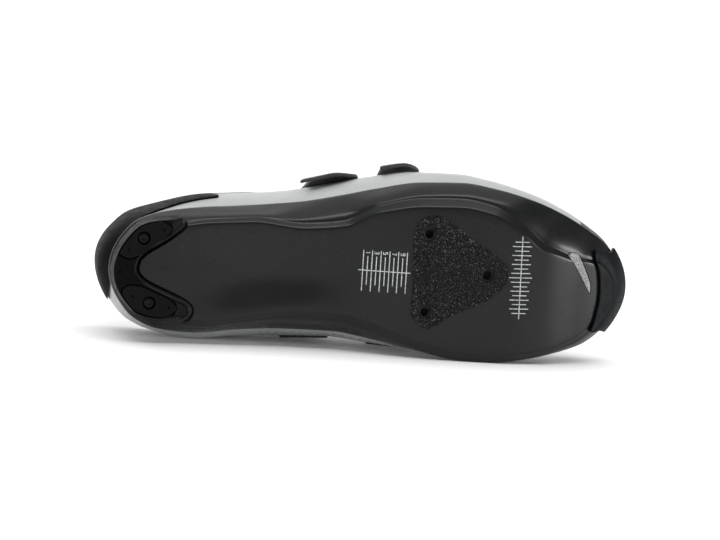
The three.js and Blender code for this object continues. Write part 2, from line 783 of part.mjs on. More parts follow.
// The loose foot bed in the bowl of the sole
function makeInsole() {
  return fanSolid((side, share) => {
    const bowl = bowlSection(side, share).slice(1).reverse();
    const spine = bowl[0];
    const edge = bowl[bowl.length - 1];
    const reach = Math.hypot(edge.x - spine.x, edge.y - spine.y);
    const inner = 1 - insoleMargin / reach;
    const low = bowl.map((point) => {
      const x = mix(spine.x, point.x, inner);
      const y = mix(spine.y, point.y, inner);
      return new THREE.Vector3(x, y, point.z + clearance);
    });
    const high = low.map((point, i) => {
      const thin = mix(insoleThickness, insoleEdge, i / (low.length - 1));
      return new THREE.Vector3(point.x, point.y, point.z + thin);
    });
    return [...low, ...high.reverse()];
  });
}

// What is cut out of the upper: the ankle opening and the throat
function makeOpening() {
  const line = smoothLine(collarLine.map(inSideView), false);
  const last = line[line.length - 1];
  const ankle = crossPrism(crossSection([...line, [last[0], farAbove], [line[0][0], farAbove]]));
  const half = smoothLine(
    throatLine.map((row) => new THREE.Vector2(shoeLength * row.at, throatWidth * row.half)),
    false,
  );
  const mirrored = half.slice(0, -1).map(([x, y]) => [x, -y]).reverse();
  const throat = prism(crossSection([...half, ...mirrored]), throatFloor, farAbove);
  return ankle.add(throat);
}

// The hollow upper
function makeUpper() {
  return largest(upperLayer(0, upperWall).subtract(makeOpening()));
}

// The counter around the outside of the heel
function makeCounter() {
  const half = (rows, from, to) => {
    const line = smoothLine(rows.map(inSideView), false);
    const rear = -shoeLength;
    const region = crossSection([...line, [rear, line[line.length - 1][1]], [rear, line[0][1]]]);
    return crossPrism(region, from, to);
  };
  const layer = upperLayer(-clearance - counterThickness, counterThickness);
  const lateralHalf = half(lateralCounterLine, -ballWidth, 0);
  return largest(layer.intersect(lateralHalf.add(half(medialCounterLine, 0, ballWidth))));
}

// The tongue under the throat
function makeTongue() {
  const rearX = tongue.rear * shoeLength;
  const frontX = tongue.front * shoeLength;
  const rearHalf = throatWidth * tongue.rearHalf;
  const frontHalf = throatWidth * tongue.frontHalf;
  const corner = tongue.corner;
  const region = crossSection([
    [rearX, -rearHalf + corner],
    [rearX + corner, -rearHalf],
    [frontX - corner, -frontHalf],
    [frontX, -frontHalf + corner],
    [frontX, frontHalf - corner],
    [frontX - corner, frontHalf],
    [rearX + corner, rearHalf],
    [rearX, rearHalf - corner],
  ]);
  const layer = upperLayer(upperWall + clearance, tongueThickness);
  return largest(layer.intersect(prism(region, throatFloor, farAbove)));
}

// One strap over the throat, with a free end that stands off the lateral wall
function makeStrap(strap) {
  const wide = ballWidth;
  const region = crossSection([
    [shoeLength * strap.lateralRear, -wide],
    [shoeLength * strap.lateralFront, -wide],
    [shoeLength * strap.medialFront, wide],
    [shoeLength * strap.medialRear, wide],
  ]);
  const rear = shoeLength * strap.lateralRear;
  const front = shoeLength * strap.lateralFront;
  const endShape = crossSection([
    ...strapTip.map((row) => [mix(rear, front, row.along), strap.lateralEnd + row.rise]),
    [front, farAbove],
    [rear + strap.tipLean, farAbove],
    [rear + strap.tipLean, strap.lateralEnd + tipLeanRise],
  ]);
  const medialShape = crossSection([
    [0, strap.medialEnd],
    [shoeLength, strap.medialEnd],
    [shoeLength, farAbove],
    [0, farAbove],
  ]);
  const outer = -clearance - strapThickness;
  const around = upperLayer(outer, strapThickness, strap.flare);
  const layer = around.intersect(prism(region, farBelow, farAbove));
  const lateralHalf = crossPrism(endShape, -ballWidth, 0);
  const medialHalf = crossPrism(medialShape, 0, ballWidth);
  return largest(layer.intersect(lateralHalf.add(medialHalf)));
}

// The biggest body of a solid
function largest(solid) {
  const bodies = solid.decompose();
  return bodies.reduce((best, body) => (body.volume() > best.volume() ? body : best));
}

const pieces = {
  sole_plate: { solid: makeSole(), color: 0x2b2c2f, roughness: 0.35 },
  heel_block: { solid: makeHeelBlock(), color: 0x17181a, roughness: 0.7 },
  heel_tread_lateral: { solid: makeTread(lateralTread, screwPlaces[0]), color: 0x202124, roughness: 0.8 },
  heel_tread_medial: { solid: makeTread(medialTread, screwPlaces[1]), color: 0x212225, roughness: 0.8 },
  tread_screw_lateral: { solid: makeScrew(screwPlaces[0]), color: 0x3c3e42, roughness: 0.4 },
  tread_screw_medial: { solid: makeScrew(screwPlaces[1]), color: 0x3d3f43, roughness: 0.4 },
  toe_bumper: { solid: makeBumper(), color: 0x18191b, roughness: 0.75 },
  cleat_pad: { solid: makePad(), color: 0x1d1e20, roughness: 0.95 },
  cleat_nut_front: { solid: makeInsert(bolts.front), color: 0x6b6e73, roughness: 0.35 },
  cleat_nut_lateral: { solid: makeInsert(bolts.lateral), color: 0x6c6f74, roughness: 0.35 },
  cleat_nut_medial: { solid: makeInsert(bolts.medial), color: 0x6d7075, roughness: 0.35 },
  toe_vent_mesh: { solid: makeVentMesh(), color: 0x9a9c9f, roughness: 0.8 },
  insole: { solid: makeInsole().simplify(hiddenTolerance), color: 0x2e3034, roughness: 0.95 },
  upper: { solid: makeUpper(), color: 0x1b1c1f, roughness: 0.4 },
  heel_counter: { solid: makeCounter(), color: 0x101113, roughness: 0.85 },
  tongue: { solid: makeTongue(), color: 0x222326, roughness: 0.9 },
};
straps.forEach((strap, i) => {
  pieces[strap.name] = { solid: makeStrap(strap), color: 0x141517 + i, roughness: 0.6 };
});

// A three.js geometry with flat faces from a solid
function geometryFrom(solid) {
  const mesh = solid.getMesh();
  const geometry = new THREE.BufferGeometry();
  const positions = [];
  for (const vertex of mesh.triVerts) {
    const start = vertex * mesh.numProp;
    positions.push(...mesh.vertProperties.slice(start, start + 3));
  }
  geometry.setAttribute("position", new THREE.Float32BufferAttribute(positions, 3));
  return geometry;
}

// Volume-weighted middle of all pieces
function centreOfMass(geometries) {
  const sum = new THREE.Vector3();
  let total = 0;
  const corners = [new THREE.Vector3(), new THREE.Vector3(), new THREE.Vector3()];
  for (const geometry of geometries) {
    const position = geometry.getAttribute("position");
    for (let i = 0; i < position.count; i += 3) {
      corners.forEach((corner, k) => corner.fromBufferAttribute(position, i + k));
      const [a, b, c] = corners;
      const volume = a.dot(new THREE.Vector3().crossVectors(b, c)) / 6;
      const middle = a.clone().add(b).add(c).divideScalar(4);
      sum.addScaledVector(middle, volume);
      total += volume;
    }
  }
  return sum.divideScalar(total);
}

// The face of the hull that the shoe comes to rest on when it is laid on its medial side: the one
// nearest to the centre of mass
function restingNormal(geometries, middle) {
  const points = [];
  for (const geometry of geometries) {
    const position = geometry.getAttribute("position");
    for (let i = 0; i < position.count; i += 1) {
      points.push(new THREE.Vector3().fromBufferAttribute(position, i));
    }
  }
  const hull = new ConvexHull().setFromPoints(points);
  const medialFaces = hull.faces.filter((face) => face.normal.y > restingShare);
  const reach = (face) => -face.distanceToPoint(middle);
  return medialFaces.reduce((best, face) => (reach(face) < reach(best) ? face : best)).normal.clone();
}

// Turns the resting face down and the toe towards +X
function layingDown(normal) {
  const up = normal.clone().negate();
  const toe = new THREE.Vector3(1, 0, 0);
  toe.addScaledVector(up, -toe.dot(up)).normalize();
  const left = new THREE.Vector3().crossVectors(up, toe);
  return new THREE.Matrix4().makeBasis(toe, left, up).invert();
}

const geometries = Object.fromEntries(
  Object.entries(pieces).map(([name, piece]) => {
    return [name, geometryFrom(piece.solid.simplify(facetTolerance))];
  }),
);
const all = Object.values(geometries);
const laid = layingDown(restingNormal(all, centreOfMass(all)));
const box = new THREE.Box3();
for (const geometry of all) {
  geometry.applyMatrix4(laid);
  geometry.computeBoundingBox();
  box.union(geometry.boundingBox);
}
const centre = box.getCenter(new THREE.Vector3());

const group = new THREE.Group();
group.name = "cycling_shoe";
for (const [name, piece] of Object.entries(pieces)) {
  const geometry = geometries[name];
  geometry.translate(-centre.x, -centre.y, -box.min.z);
  geometry.computeVertexNormals();
  const material = new THREE.MeshStandardMaterial({
    name,
    color: piece.color,
    roughness: piece.roughness,
  });
  const mesh = new THREE.Mesh(geometry, material);
  mesh.name = name;
  group.add(mesh);
}

export default group;
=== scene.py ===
import json
import math

import bmesh
import bpy
import numpy as np
from mathutils import Matrix, Vector
from mathutils.bvhtree import BVHTree


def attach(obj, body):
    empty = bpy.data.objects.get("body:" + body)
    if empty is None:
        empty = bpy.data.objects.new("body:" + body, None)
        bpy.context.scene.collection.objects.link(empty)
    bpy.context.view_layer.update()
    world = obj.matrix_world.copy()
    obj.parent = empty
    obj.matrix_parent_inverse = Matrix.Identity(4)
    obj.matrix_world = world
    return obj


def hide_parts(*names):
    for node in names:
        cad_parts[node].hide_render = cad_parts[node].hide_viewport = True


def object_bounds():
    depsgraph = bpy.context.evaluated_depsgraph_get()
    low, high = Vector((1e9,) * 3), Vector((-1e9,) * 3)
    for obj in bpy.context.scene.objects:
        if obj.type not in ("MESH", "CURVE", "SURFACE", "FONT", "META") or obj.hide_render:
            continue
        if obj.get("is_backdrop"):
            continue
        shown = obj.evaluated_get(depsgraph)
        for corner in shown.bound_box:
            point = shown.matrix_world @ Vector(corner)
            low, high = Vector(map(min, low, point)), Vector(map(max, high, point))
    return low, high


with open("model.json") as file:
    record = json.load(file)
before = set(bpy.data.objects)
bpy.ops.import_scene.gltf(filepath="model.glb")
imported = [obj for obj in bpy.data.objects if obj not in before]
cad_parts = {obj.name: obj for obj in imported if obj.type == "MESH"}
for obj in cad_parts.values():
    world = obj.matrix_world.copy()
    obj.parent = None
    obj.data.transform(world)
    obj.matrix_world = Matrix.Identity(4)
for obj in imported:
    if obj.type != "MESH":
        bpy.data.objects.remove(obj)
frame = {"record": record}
cad_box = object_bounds()

# Driving dimensions in millimetres
SHOE_LENGTH = 275
BALL_WIDTH = 91
INSTEP_HEIGHT = 104
COLLAR_HEIGHT = 70
HEEL_OVERHANG = 6
HEEL_STACK = 6
ARCH_RISE = 9.5
TOE_SPRING = 22
SIDE_RISE = 14
SIDE_BULGE = 7

# Thicknesses, seats and clearances in millimetres
CLEARANCE = 0.3
PLATE_THICKNESS = 5
LIP_THICKNESS = 2.2
LIP_WIDTH = 5
LIP_INSET = 1.4
UPPER_WALL = 2
THROAT_WIDTH = 26
INSOLE_THICKNESS = 3
TONGUE_THICKNESS = 3
COUNTER_THICKNESS = 1
STRAP_THICKNESS = 1.6
BUMPER_THICKNESS = 1.6
PAD_THICKNESS = 0.8
TREAD_PROUD = 1
TREAD_MARGIN = 0.8
BLOCK_INSET = 10
BLOCK_TOP_SHARE = 0.45
BLOCK_OVERLAP = 1
GROOVE_WIDTH = 2.6
GROOVE_DEPTH = 1.6
GROOVE_MARGIN = 4
POCKET_DEPTH = 1.5
SOLE_LENGTH = SHOE_LENGTH - HEEL_OVERHANG - BUMPER_THICKNESS

# Bolts, inserts and screws in millimetres
BOLT_BASE = 39.5
BOLT_HEIGHT = 31
BOLT_MIDDLE = -5
REAR_BOLT_AT = 0.5923
INSERT_BORE = 4.2
INSERT_DIAMETER = 6.2
INSERT_HEIGHT = 4
SCREW_HEAD_DIAMETER = 6
SCREW_HEAD_HEIGHT = 1.4
SOCKET_DIAMETER = 2.6
SOCKET_DEPTH = 0.8
VENT_RECESS = 0.3
VENT_THICKNESS = 1

MEDIAL = 1
LATERAL = -1
SIDES = (MEDIAL, LATERAL)
SIDE_NAMES = {MEDIAL: "medial", LATERAL: "lateral"}
HEEL_CUP_DEPTH = 34
TOE_BOX_DEPTH = 30
STATIONS = 150
ARCH_STEPS = 26


def table(names, rows):
    """A table as one list for each named column."""
    return {name: [row[i] for row in rows] for i, name in enumerate(names.split())}


# Outline of the sole, seen from below. at is the share of the sole's length from its rear edge,
# widths are shares of the ball width, and the plateau's are shares of the half width.
OUTLINE = table("at edge_medial edge_lateral flat_medial flat_lateral", [
    (0, 0, 0, 0.7, 0.7),
    (0.02, 0.178, 0.174, 0.7, 0.7),
    (0.05, 0.276, 0.266, 0.71, 0.71),
    (0.1, 0.334, 0.319, 0.75, 0.75),
    (0.17, 0.351, 0.348, 0.77, 0.78),
    (0.25, 0.33, 0.365, 0.71, 0.78),
    (0.35, 0.32, 0.394, 0.62, 0.66),
    (0.43, 0.323, 0.44, 0.63, 0.64),
    (0.5, 0.349, 0.495, 0.71, 0.75),
    (0.58, 0.392, 0.544, 0.83, 0.765),
    (0.66, 0.425, 0.553, 0.9, 0.765),
    (0.72, 0.438, 0.529, 0.9, 0.75),
    (0.8, 0.422, 0.47, 0.885, 0.62),
    (0.86, 0.389, 0.4, 0.87, 0.5),
    (0.92, 0.335, 0.306, 0.82, 0.5),
    (0.96, 0.254, 0.226, 0.75, 0.6),
    (0.985, 0.162, 0.13, 0.7, 0.66),
    (1, 0.025, -0.025, 0.68, 0.68),
])

# Side view of the sole. heel, arch and toe are shares of their rises, the rims are shares of the
# side's rise above them, and bevel and dish are shares of the plate's thickness.
PROFILE = table("at heel arch toe rim_medial rim_lateral bevel dish", [
    (0, 1.25, 0, 0, 0.6, 0.6, 0.2, 0),
    (0.08, 1, 0, 0, 0.66, 0.62, 0.25, 0.1),
    (0.2, 0.8, 0.25, 0, 0.82, 0.7, 0.32, 0.3),
    (0.33, 0.2, 0.88, 0, 1, 0.8, 0.4, 0.25),
    (0.42, 0, 0.95, 0, 1, 0.8, 0.42, 0.1),
    (0.52, 0, 0.4, 0, 0.85, 0.74, 0.55, 0),
    (0.58, 0, 0.08, 0, 0.76, 0.7, 0.62, 0),
    (0.615, 0, 0, 0, 0.7, 0.68, 0.64, 0),
    (0.745, 0, 0, 0, 0.6, 0.64, 0.6, 0),
    (0.82, 0, 0, 0.13, 0.56, 0.58, 0.5, 0),
    (0.9, 0, 0, 0.43, 0.5, 0.5, 0.3, 0),
    (1, 0, 0, 1, 0.4, 0.4, 0.15, 0),
])

# How far the heel block's foot lies inside the sole's edge, as shares of BLOCK_INSET
BLOCK_FOOT = table("at inset_medial inset_lateral", [
    (0, 0.1, 0.1),
    (0.035, 0.28, 0.1),
    (0.055, 0.42, 0.13),
    (0.075, 0.58, 0.2),
    (0.1, 0.8, 0.3),
    (0.13, 1, 0.36),
    (1, 1, 0.36),
])
BEVEL_RUN = 1.4
BAND_CURVE = 1.5
BOWL_CURVE = 4
DISH_STEPS = (0, 0.12, 0.25, 0.38, 0.5, 0.62, 0.75, 0.88)
BAND_STEPS = (0.1, 0.2, 0.3, 0.4, 0.5, 0.6, 0.7, 0.8, 0.9, 1)
BOWL_STEPS = (1, 0.97, 0.92, 0.86, 0.8, 0.7, 0.6, 0.45, 0.3, 0)
CREASE_RADIUS = 0.9
RIM_RADIUS = 0.7

# The upper's sections. ridge is the height of the top line as a share of the instep's height,
# square is how boxy the section is, 2 being an ellipse, and the bulges are shares of SIDE_BULGE.
SECTIONS = table("at ridge square bulge_medial bulge_lateral", [
    (0, 0.93, 2.4, 0.42, 0.42),
    (0.08, 0.98, 2.5, 0.46, -0.06),
    (0.2, 1.04, 2.6, 0.84, 0.36),
    (0.32, 1.02, 2.6, 0.84, 0.28),
    (0.4, 0.935, 2.5, 0.74, 0.42),
    (0.48, 0.845, 2.4, 0.58, 0.48),
    (0.56, 0.755, 2.35, 0.3, 0.46),
    (0.64, 0.675, 2.35, 0.06, 0.38),
    (0.72, 0.61, 2.4, 0.06, 0.36),
    (0.8, 0.565, 2.4, 0.06, 0.33),
    (0.88, 0.54, 2.4, 0.06, 0.3),
    (1, 0.52, 2.4, 0.08, 0.08),
])
WIDEST_SHARE = 0.22
UNDERCUT_STEPS = (0, 0.17, 0.34, 0.5, 0.67, 0.84)

# Edge of the ankle opening in side view: shares of the shoe's length and of the collar's height
COLLAR_LINE = table("at high", [
    (-0.1, 1.03),
    (0, 1.02),
    (0.03, 1),
    (0.08, 0.93),
    (0.14, 0.84),
    (0.2, 0.81),
    (0.26, 0.86),
    (0.31, 1),
    (0.345, 1.22),
    (0.37, 1.6),
])

# Half of the throat's slot in plan: shares of the shoe's length and of the throat's width
THROAT_LINE = table("at half", [
    (0.28, 0.56),
    (0.36, 0.54),
    (0.46, 0.5),
    (0.56, 0.42),
    (0.62, 0.33),
    (0.65, 0.2),
    (0.66, 0),
])

# Outlines on the sole. at is the share of the sole's length and across that of the ball width.
LATERAL_TREAD_LINE = table("at across", [
    (0.011, -0.105),
    (0.026, -0.196),
    (0.042, -0.242),
    (0.065, -0.27),
    (0.087, -0.275),
    (0.107, -0.24),
    (0.096, -0.194),
    (0.074, -0.141),
    (0.053, -0.094),
    (0.028, -0.071),
])
MEDIAL_TREAD_LINE = table("at across", [
    (0.022, 0.108),
    (0.031, 0.082),
    (0.056, 0.084),
    (0.083, 0.117),
    (0.112, 0.154),
    (0.123, 0.197),
    (0.104, 0.241),
    (0.076, 0.241),
    (0.047, 0.216),
    (0.027, 0.174),
])
HORSESHOE_LINE = table("at across", [
    (0.1, -0.36),
    (0.118, -0.318),
    (0.128, -0.288),
    (0.1275, -0.26),
    (0.12, -0.237),
    (0.098, -0.186),
    (0.08, -0.151),
    (0.0615, -0.115),
    (0.047, -0.069),
    (0.0425, -0.018),
    (0.0435, 0.015),
    (0.053, 0.055),
    (0.069, 0.087),
    (0.096, 0.123),
    (0.12, 0.154),
    (0.14, 0.184),
    (0.148, 0.212),
    (0.145, 0.24),
    (0.13, 0.275),
    (0.112, 0.34),
])
PAD_LINE = table("at across", [
    (0.565, -0.299),
    (0.576, -0.351),
    (0.604, -0.376),
    (0.626, -0.352),
    (0.678, -0.249),
    (0.725, -0.166),
    (0.746, -0.103),
    (0.748, -0.037),
    (0.74, 0.006),
    (0.703, 0.097),
    (0.649, 0.167),
    (0.597, 0.254),
    (0.577, 0.218),
    (0.567, 0.187),
    (0.566, 0.051),
])
VENT_LINE = table("at across", [
    (0.87, -0.18),
    (0.881, -0.194),
    (0.893, -0.183),
    (0.904, -0.127),
    (0.914, -0.071),
    (0.9225, -0.013),
    (0.922, 0.042),
    (0.905, -0.029),
    (0.889, -0.102),
    (0.876, -0.152),
])
BUMPER_LINE = table("at across", [
    (0.975, -0.215),
    (0.966, -0.193),
    (0.945, -0.2),
    (0.929, -0.208),
    (0.928, -0.157),
    (0.938, -0.079),
    (0.942, 0.066),
    (0.936, 0.172),
    (0.93, 0.259),
    (0.949, 0.255),
    (0.962, 0.265),
    (0.975, 0.28),
])
LATERAL_SCREW = table("at across", [(0.056, -0.183)])
MEDIAL_SCREW = table("at across", [(0.072, 0.17)])

# The sloping tips of the horseshoe: where they start as shares of the sole's length
TIP_START = {MEDIAL: 0.122, LATERAL: 0.108}
TIP_RUN = 6
TIP_RISE = 4.5

# The heel counter in side view: shares of the shoe's length and of the collar's height
MEDIAL_COUNTER_LINE = table("at high", [
    (0.022, 0.05),
    (0.026, 0.3),
    (0.03, 0.5),
    (0.034, 0.7),
    (0.03, 0.8),
])
LATERAL_COUNTER_LINE = table("at high", [
    (0.03, 0.05),
    (0.058, 0.17),
    (0.071, 0.25),
    (0.1, 0.31),
    (0.15, 0.4),
    (0.224, 0.5),
    (0.21, 0.62),
    (0.12, 0.7),
    (0.05, 0.8),
])

# Straps: rear and front on both sides as shares of the shoe's length, and the ends' heights
STRAPS = {
    "strap_instep": {
        "medial": (0.36, 0.45), "lateral": (0.379, 0.5), "ends": (46, 36), "lean": 7, "flare": 4.6,
    },
    "strap_forefoot": {
        "medial": (0.52, 0.6), "lateral": (0.524, 0.613), "ends": (38, 33), "lean": 3, "flare": 2.9,
    },
}

# The straps' free ends: shares of the strap's width, and rises above its end in millimetres
STRAP_TIP = table("along rise", [
    (0, 0),
    (0.6, 1),
    (0.85, 7),
    (1, 18),
])
TIP_LEAN_RISE = 12

# From which share of its width on a free end comes back onto the upper
TIP_FLAT_FROM = 0.45

# The camera in the shoe's frame: its place in millimetres, how far it looks forward and to the
# medial side in degrees, its roll and its lens
CAMERA_PLACE = (-147.5, -180.5, -1427.2)
CAMERA_FORWARD = 11
CAMERA_MEDIAL = 7
CAMERA_ROLL = 2.3
CAMERA_LENS = 146.6

FAR = 400


def mix(a, b, share):
    return a + (b - a) * share


def eased(share):
    return share * share * (3 - 2 * share)


def turn_of(share):
    return np.arccos(1 - 2 * np.clip(share, 0, 1)) / math.pi


def share_of(turn):
    return (1 - np.cos(math.pi * np.asarray(turn, float))) / 2


def along(rows, column):
    """A smooth curve through one column of a table, read by shares of the length.
    It has no slope at a peak or beside a level stretch, and at the tips only a width has one."""
    turns = turn_of(np.array(rows["at"], float))
    values = np.array(rows[column], float)
    steps = np.diff(values) / np.diff(turns)
    slopes = np.zeros(len(values))
    for i in range(1, len(values) - 1):
        if steps[i - 1] * steps[i] > 0:
            slopes[i] = 2 * steps[i - 1] * steps[i] / (steps[i - 1] + steps[i])
    if column.startswith("edge"):
        slopes[0] = steps[0]
        slopes[-1] = steps[-1]

    def read(share):
        turn = turn_of(np.asarray(share, float))
        i = np.clip(np.searchsorted(turns, turn) - 1, 0, len(turns) - 2)
        span = turns[i + 1] - turns[i]
        u = (turn - turns[i]) / span
        level = mix(values[i], values[i + 1], eased(u))
        return level + span * (slopes[i] * u * (1 - u) ** 2 - slopes[i + 1] * (1 - u) * u**2)

    return read


def curves(rows):
    return {column: along(rows, column) for column in rows if column != "at"}


plan = curves(OUTLINE)
rise = curves(PROFILE)
shell = curves(SECTIONS)
heel_foot = curves(BLOCK_FOOT)


def points3(xy, z):
    """Points with three coordinates from rows of two and their heights."""
    z = np.broadcast_to(np.asarray(z, float), xy.shape[:1])
    return np.column_stack([xy, z])


def edge_point(side, shares, grow=0.0):
    """The sole's edge in plan on one side, moved outwards by grow."""
    shares = np.asarray(shares, float)

    def at(turn):
        place = share_of(turn)
        width = plan["edge_" + SIDE_NAMES[side]](place)
        return np.stack([HEEL_OVERHANG + SOLE_LENGTH * place, side * BALL_WIDTH * width], axis=-1)

    step = 0.01
    turn = turn_of(shares)
    tangent = at(np.minimum(turn + step, 1)) - at(np.maximum(turn - step, 0))
    tangent /= np.linalg.norm(tangent, axis=-1, keepdims=True)
    outward = np.stack([-tangent[..., 1], tangent[..., 0]], axis=-1) * side
    outward[turn == 0] = (-1, 0)
    outward[turn == 1] = (1, 0)
    return at(turn) + outward * np.broadcast_to(grow, shares.shape)[..., None]


def spine_point(shares):
    """The middle of the fan of sections."""
    x = mix(HEEL_CUP_DEPTH, SHOE_LENGTH - TOE_BOX_DEPTH, np.asarray(shares, float))
    return np.stack([x, np.zeros_like(x)], axis=-1)


def place(spine, edge, share, z):
    """Points at a share of the way from the spine to the edge in plan, at height z."""
    share = np.broadcast_to(np.asarray(share, float), spine.shape[:1])
    return points3(mix(spine, edge, share[:, None]), z)


def plateau_height(shares):
    heel = HEEL_STACK * rise["heel"](shares)
    return heel + ARCH_RISE * rise["arch"](shares) + TOE_SPRING * rise["toe"](shares)


def height_at(x):
    return plateau_height(np.clip((x - HEEL_OVERHANG) / SOLE_LENGTH, 0, 1))


def rim_height(side, shares):
    return plateau_height(shares) + SIDE_RISE * rise["rim_" + SIDE_NAMES[side]](shares)


def stack(rows):
    """Sections, one for each station, from the points that follow each other along them."""
    return np.stack(rows, axis=1)


def soften(section, corners, radius, steps=4):
    """Rounds the corners with these numbers in every section by a short curve."""
    count = section.shape[1]
    corners = {corner % count for corner in corners}
    parts = []
    for k in range(count):
        here = section[:, k]
        if k not in corners:
            parts.append(here[:, None])
            continue
        ends = []
        for other in (section[:, k - 1], section[:, (k + 1) % count]):
            arm = other - here
            reach = np.linalg.norm(arm, axis=1, keepdims=True)
            ends.append(here + arm * np.minimum(radius / np.maximum(reach, 1e-6), 0.45))
        u = np.linspace(0, 1, steps + 1)[None, :, None]
        start, end = ends[0][:, None], ends[1][:, None]
        middle = here[:, None]
        parts.append(start * (1 - u) ** 2 + 2 * middle * u * (1 - u) + end * u**2)
    return np.concatenate(parts, axis=1)


def underside_section(side, shares, grow=0.0):
    """Underside of the sole from the spine to the edge, moved outwards and down by grow."""
    spine = spine_point(shares)
    edge = edge_point(side, shares, grow)
    reach = np.linalg.norm(edge - spine, axis=1)
    bevel = PLATE_THICKNESS * rise["bevel"](shares)
    dish = PLATE_THICKNESS * rise["dish"](shares)
    flat = plan["flat_" + SIDE_NAMES[side]](shares)
    bevel_end = flat + bevel * BEVEL_RUN / reach
    rim = rim_height(side, shares) - grow

    def level(part, lift):
        return place(spine, edge, part, height_at(mix(spine[:, 0], edge[:, 0], part)) - grow + lift)

    rows = [level(flat * w, dish * (1 - eased(w))) for w in DISH_STEPS]
    rows.append(level(flat, 0))
    crease = level(bevel_end, bevel)
    rows.append(crease)
    for u in BAND_STEPS:
        rows.append(place(spine, edge, mix(bevel_end, 1, u), mix(crease[:, 2], rim, u**BAND_CURVE)))
    return stack(rows)


PLATEAU_CORNER = len(DISH_STEPS)
RIM_CORNER = PLATEAU_CORNER + 1 + len(BAND_STEPS)


def bowl_section(side, shares):
    """Top of the sole from the lip at the edge down into the bowl under the foot."""
    spine = spine_point(shares)
    edge = edge_point(side, shares)
    lip = rim_height(side, shares) + LIP_THICKNESS
    inner = 1 - LIP_WIDTH / np.linalg.norm(edge - spine, axis=1)
    rows = [place(spine, edge, 1, lip)]
    for q in BOWL_STEPS:
        floor = height_at(mix(spine[:, 0], edge[:, 0], inner * q)) + PLATE_THICKNESS
        rows.append(place(spine, edge, inner * q, mix(floor, lip, q**BOWL_CURVE)))
    return stack(rows)


def upper_section(side, shares, inset=0.0, flare=0.0):
    """Half a section of the upper from the lip of the sole to the ridge, moved inwards by inset.
    flare moves the wall outwards towards its lower end."""
    bulge = SIDE_BULGE * shell["bulge_" + SIDE_NAMES[side]](shares)
    spine = spine_point(shares)
    foot = rim_height(side, shares) + LIP_THICKNESS + CLEARANCE
    top = INSTEP_HEIGHT * shell["ridge"](shares)
    widest = mix(foot, top, WIDEST_SHARE)
    square = shell["square"](shares)
    ridge = top - inset
    rows = []
    for u in UNDERCUT_STEPS:
        out = mix(bulge, -LIP_INSET, (1 - u) ** 2) - inset + flare
        rows.append(points3(edge_point(side, shares, out), mix(foot, widest, u)))
    for i in range(ARCH_STEPS + 1):
        angle = i / ARCH_STEPS * math.pi / 2
        cos, sin = math.cos(angle), math.sin(angle)
        radius = (abs(cos) ** square + abs(sin) ** square) ** (-1 / square)
        is_top = i == ARCH_STEPS
        out = 0 if is_top else radius * cos
        up = 1 if is_top else radius * sin
        leave = flare * eased(min(max(1 - 3 * i / ARCH_STEPS, 0), 1))
        edge = edge_point(side, shares, bulge - inset + leave)
        rows.append(place(spine, edge, out, mix(widest, ridge, up)))
    return stack(rows)


def onto(at, across):
    """A point on the sole in plan, from shares of its length and of the ball width."""
    return np.array([HEEL_OVERHANG + SOLE_LENGTH * at, BALL_WIDTH * across])


# Where the record's two faces are in the shoe's frame, in millimetres
CLEAT_SEAT = Vector((184, -5, -1.1))
HEEL_TREAD = Vector((32, 17, 0))


def shoe_to_row():
    seats = {mount["name"]: mount for mount in frame["record"]["mounts"]}
    seat = Vector(seats["cleat_seat"]["pos_m"])
    tread = Vector(seats["heel_tread"]["pos_m"])
    up = -Vector(seats["cleat_seat"]["axis"]).normalized()
    between = CLEAT_SEAT - HEEL_TREAD
    forward = seat - tread
    forward = (forward - up * forward.dot(up)).normalized()
    turn = math.atan2(between.y, between.x)
    forward = Matrix.Rotation(-turn, 3, up) @ forward
    sideways = up.cross(forward)
    turned = Matrix((forward, sideways, up)).transposed()
    origin = seat - turned @ (CLEAT_SEAT * 0.001)
    return turned, origin


TURNED, ORIGIN = shoe_to_row()
TURNED_ARRAY = np.array(TURNED)


def to_row(points):
    return np.asarray(points, float) @ TURNED_ARRAY.T * 0.001 + np.array(ORIGIN)


# Meshes


def piece_from(name, points, faces, is_solid=True):
    """A mesh object from points in the shoe's frame, with its faces turned outwards."""
    mesh = bpy.data.meshes.new(name)
    mesh.from_pydata(to_row(points).tolist(), [], [tuple(int(i) for i in face) for face in faces])
    if is_solid:
        work = bmesh.new()
        work.from_mesh(mesh)
        bmesh.ops.recalc_face_normals(work, faces=work.faces)
        work.to_mesh(mesh)
        work.free()
    mesh.update()
    piece = bpy.data.objects.new(name, mesh)
    bpy.context.scene.collection.objects.link(piece)
    return piece


def grid_faces(index):
    """Quads between the neighbours in a grid of point numbers."""
    corners = [index[:-1, :-1], index[1:, :-1], index[1:, 1:], index[:-1, 1:]]
    return np.stack(corners, axis=-1).reshape(-1, 4)


def fan(section_at, stations=STATIONS):
    """Points and quads of a closed form whose sections run from the spine below, around the edge,
    to the spine above. Both sides share the spine and the first and last sections."""
    shares = share_of(np.arange(stations + 1) / stations)
    medial = section_at(MEDIAL, shares)
    lateral = section_at(LATERAL, shares)
    index = np.arange(medial.shape[0] * medial.shape[1]).reshape(medial.shape[:2])
    mirror = index + index.size
    mirror[0] = index[0]
    mirror[-1] = index[-1]
    mirror[:, 0] = index[:, 0]
    mirror[:, -1] = index[:, -1]
    faces = np.concatenate([grid_faces(index), grid_faces(mirror)[:, ::-1]])
    points = np.concatenate([medial.reshape(-1, 3), lateral.reshape(-1, 3)])
    used, compact = np.unique(faces, return_inverse=True)
    return points[used], compact.reshape(faces.shape)


def fan_piece(name, section_at, stations=STATIONS):
    points, faces = fan(section_at, stations)
    return piece_from(name, points, faces)


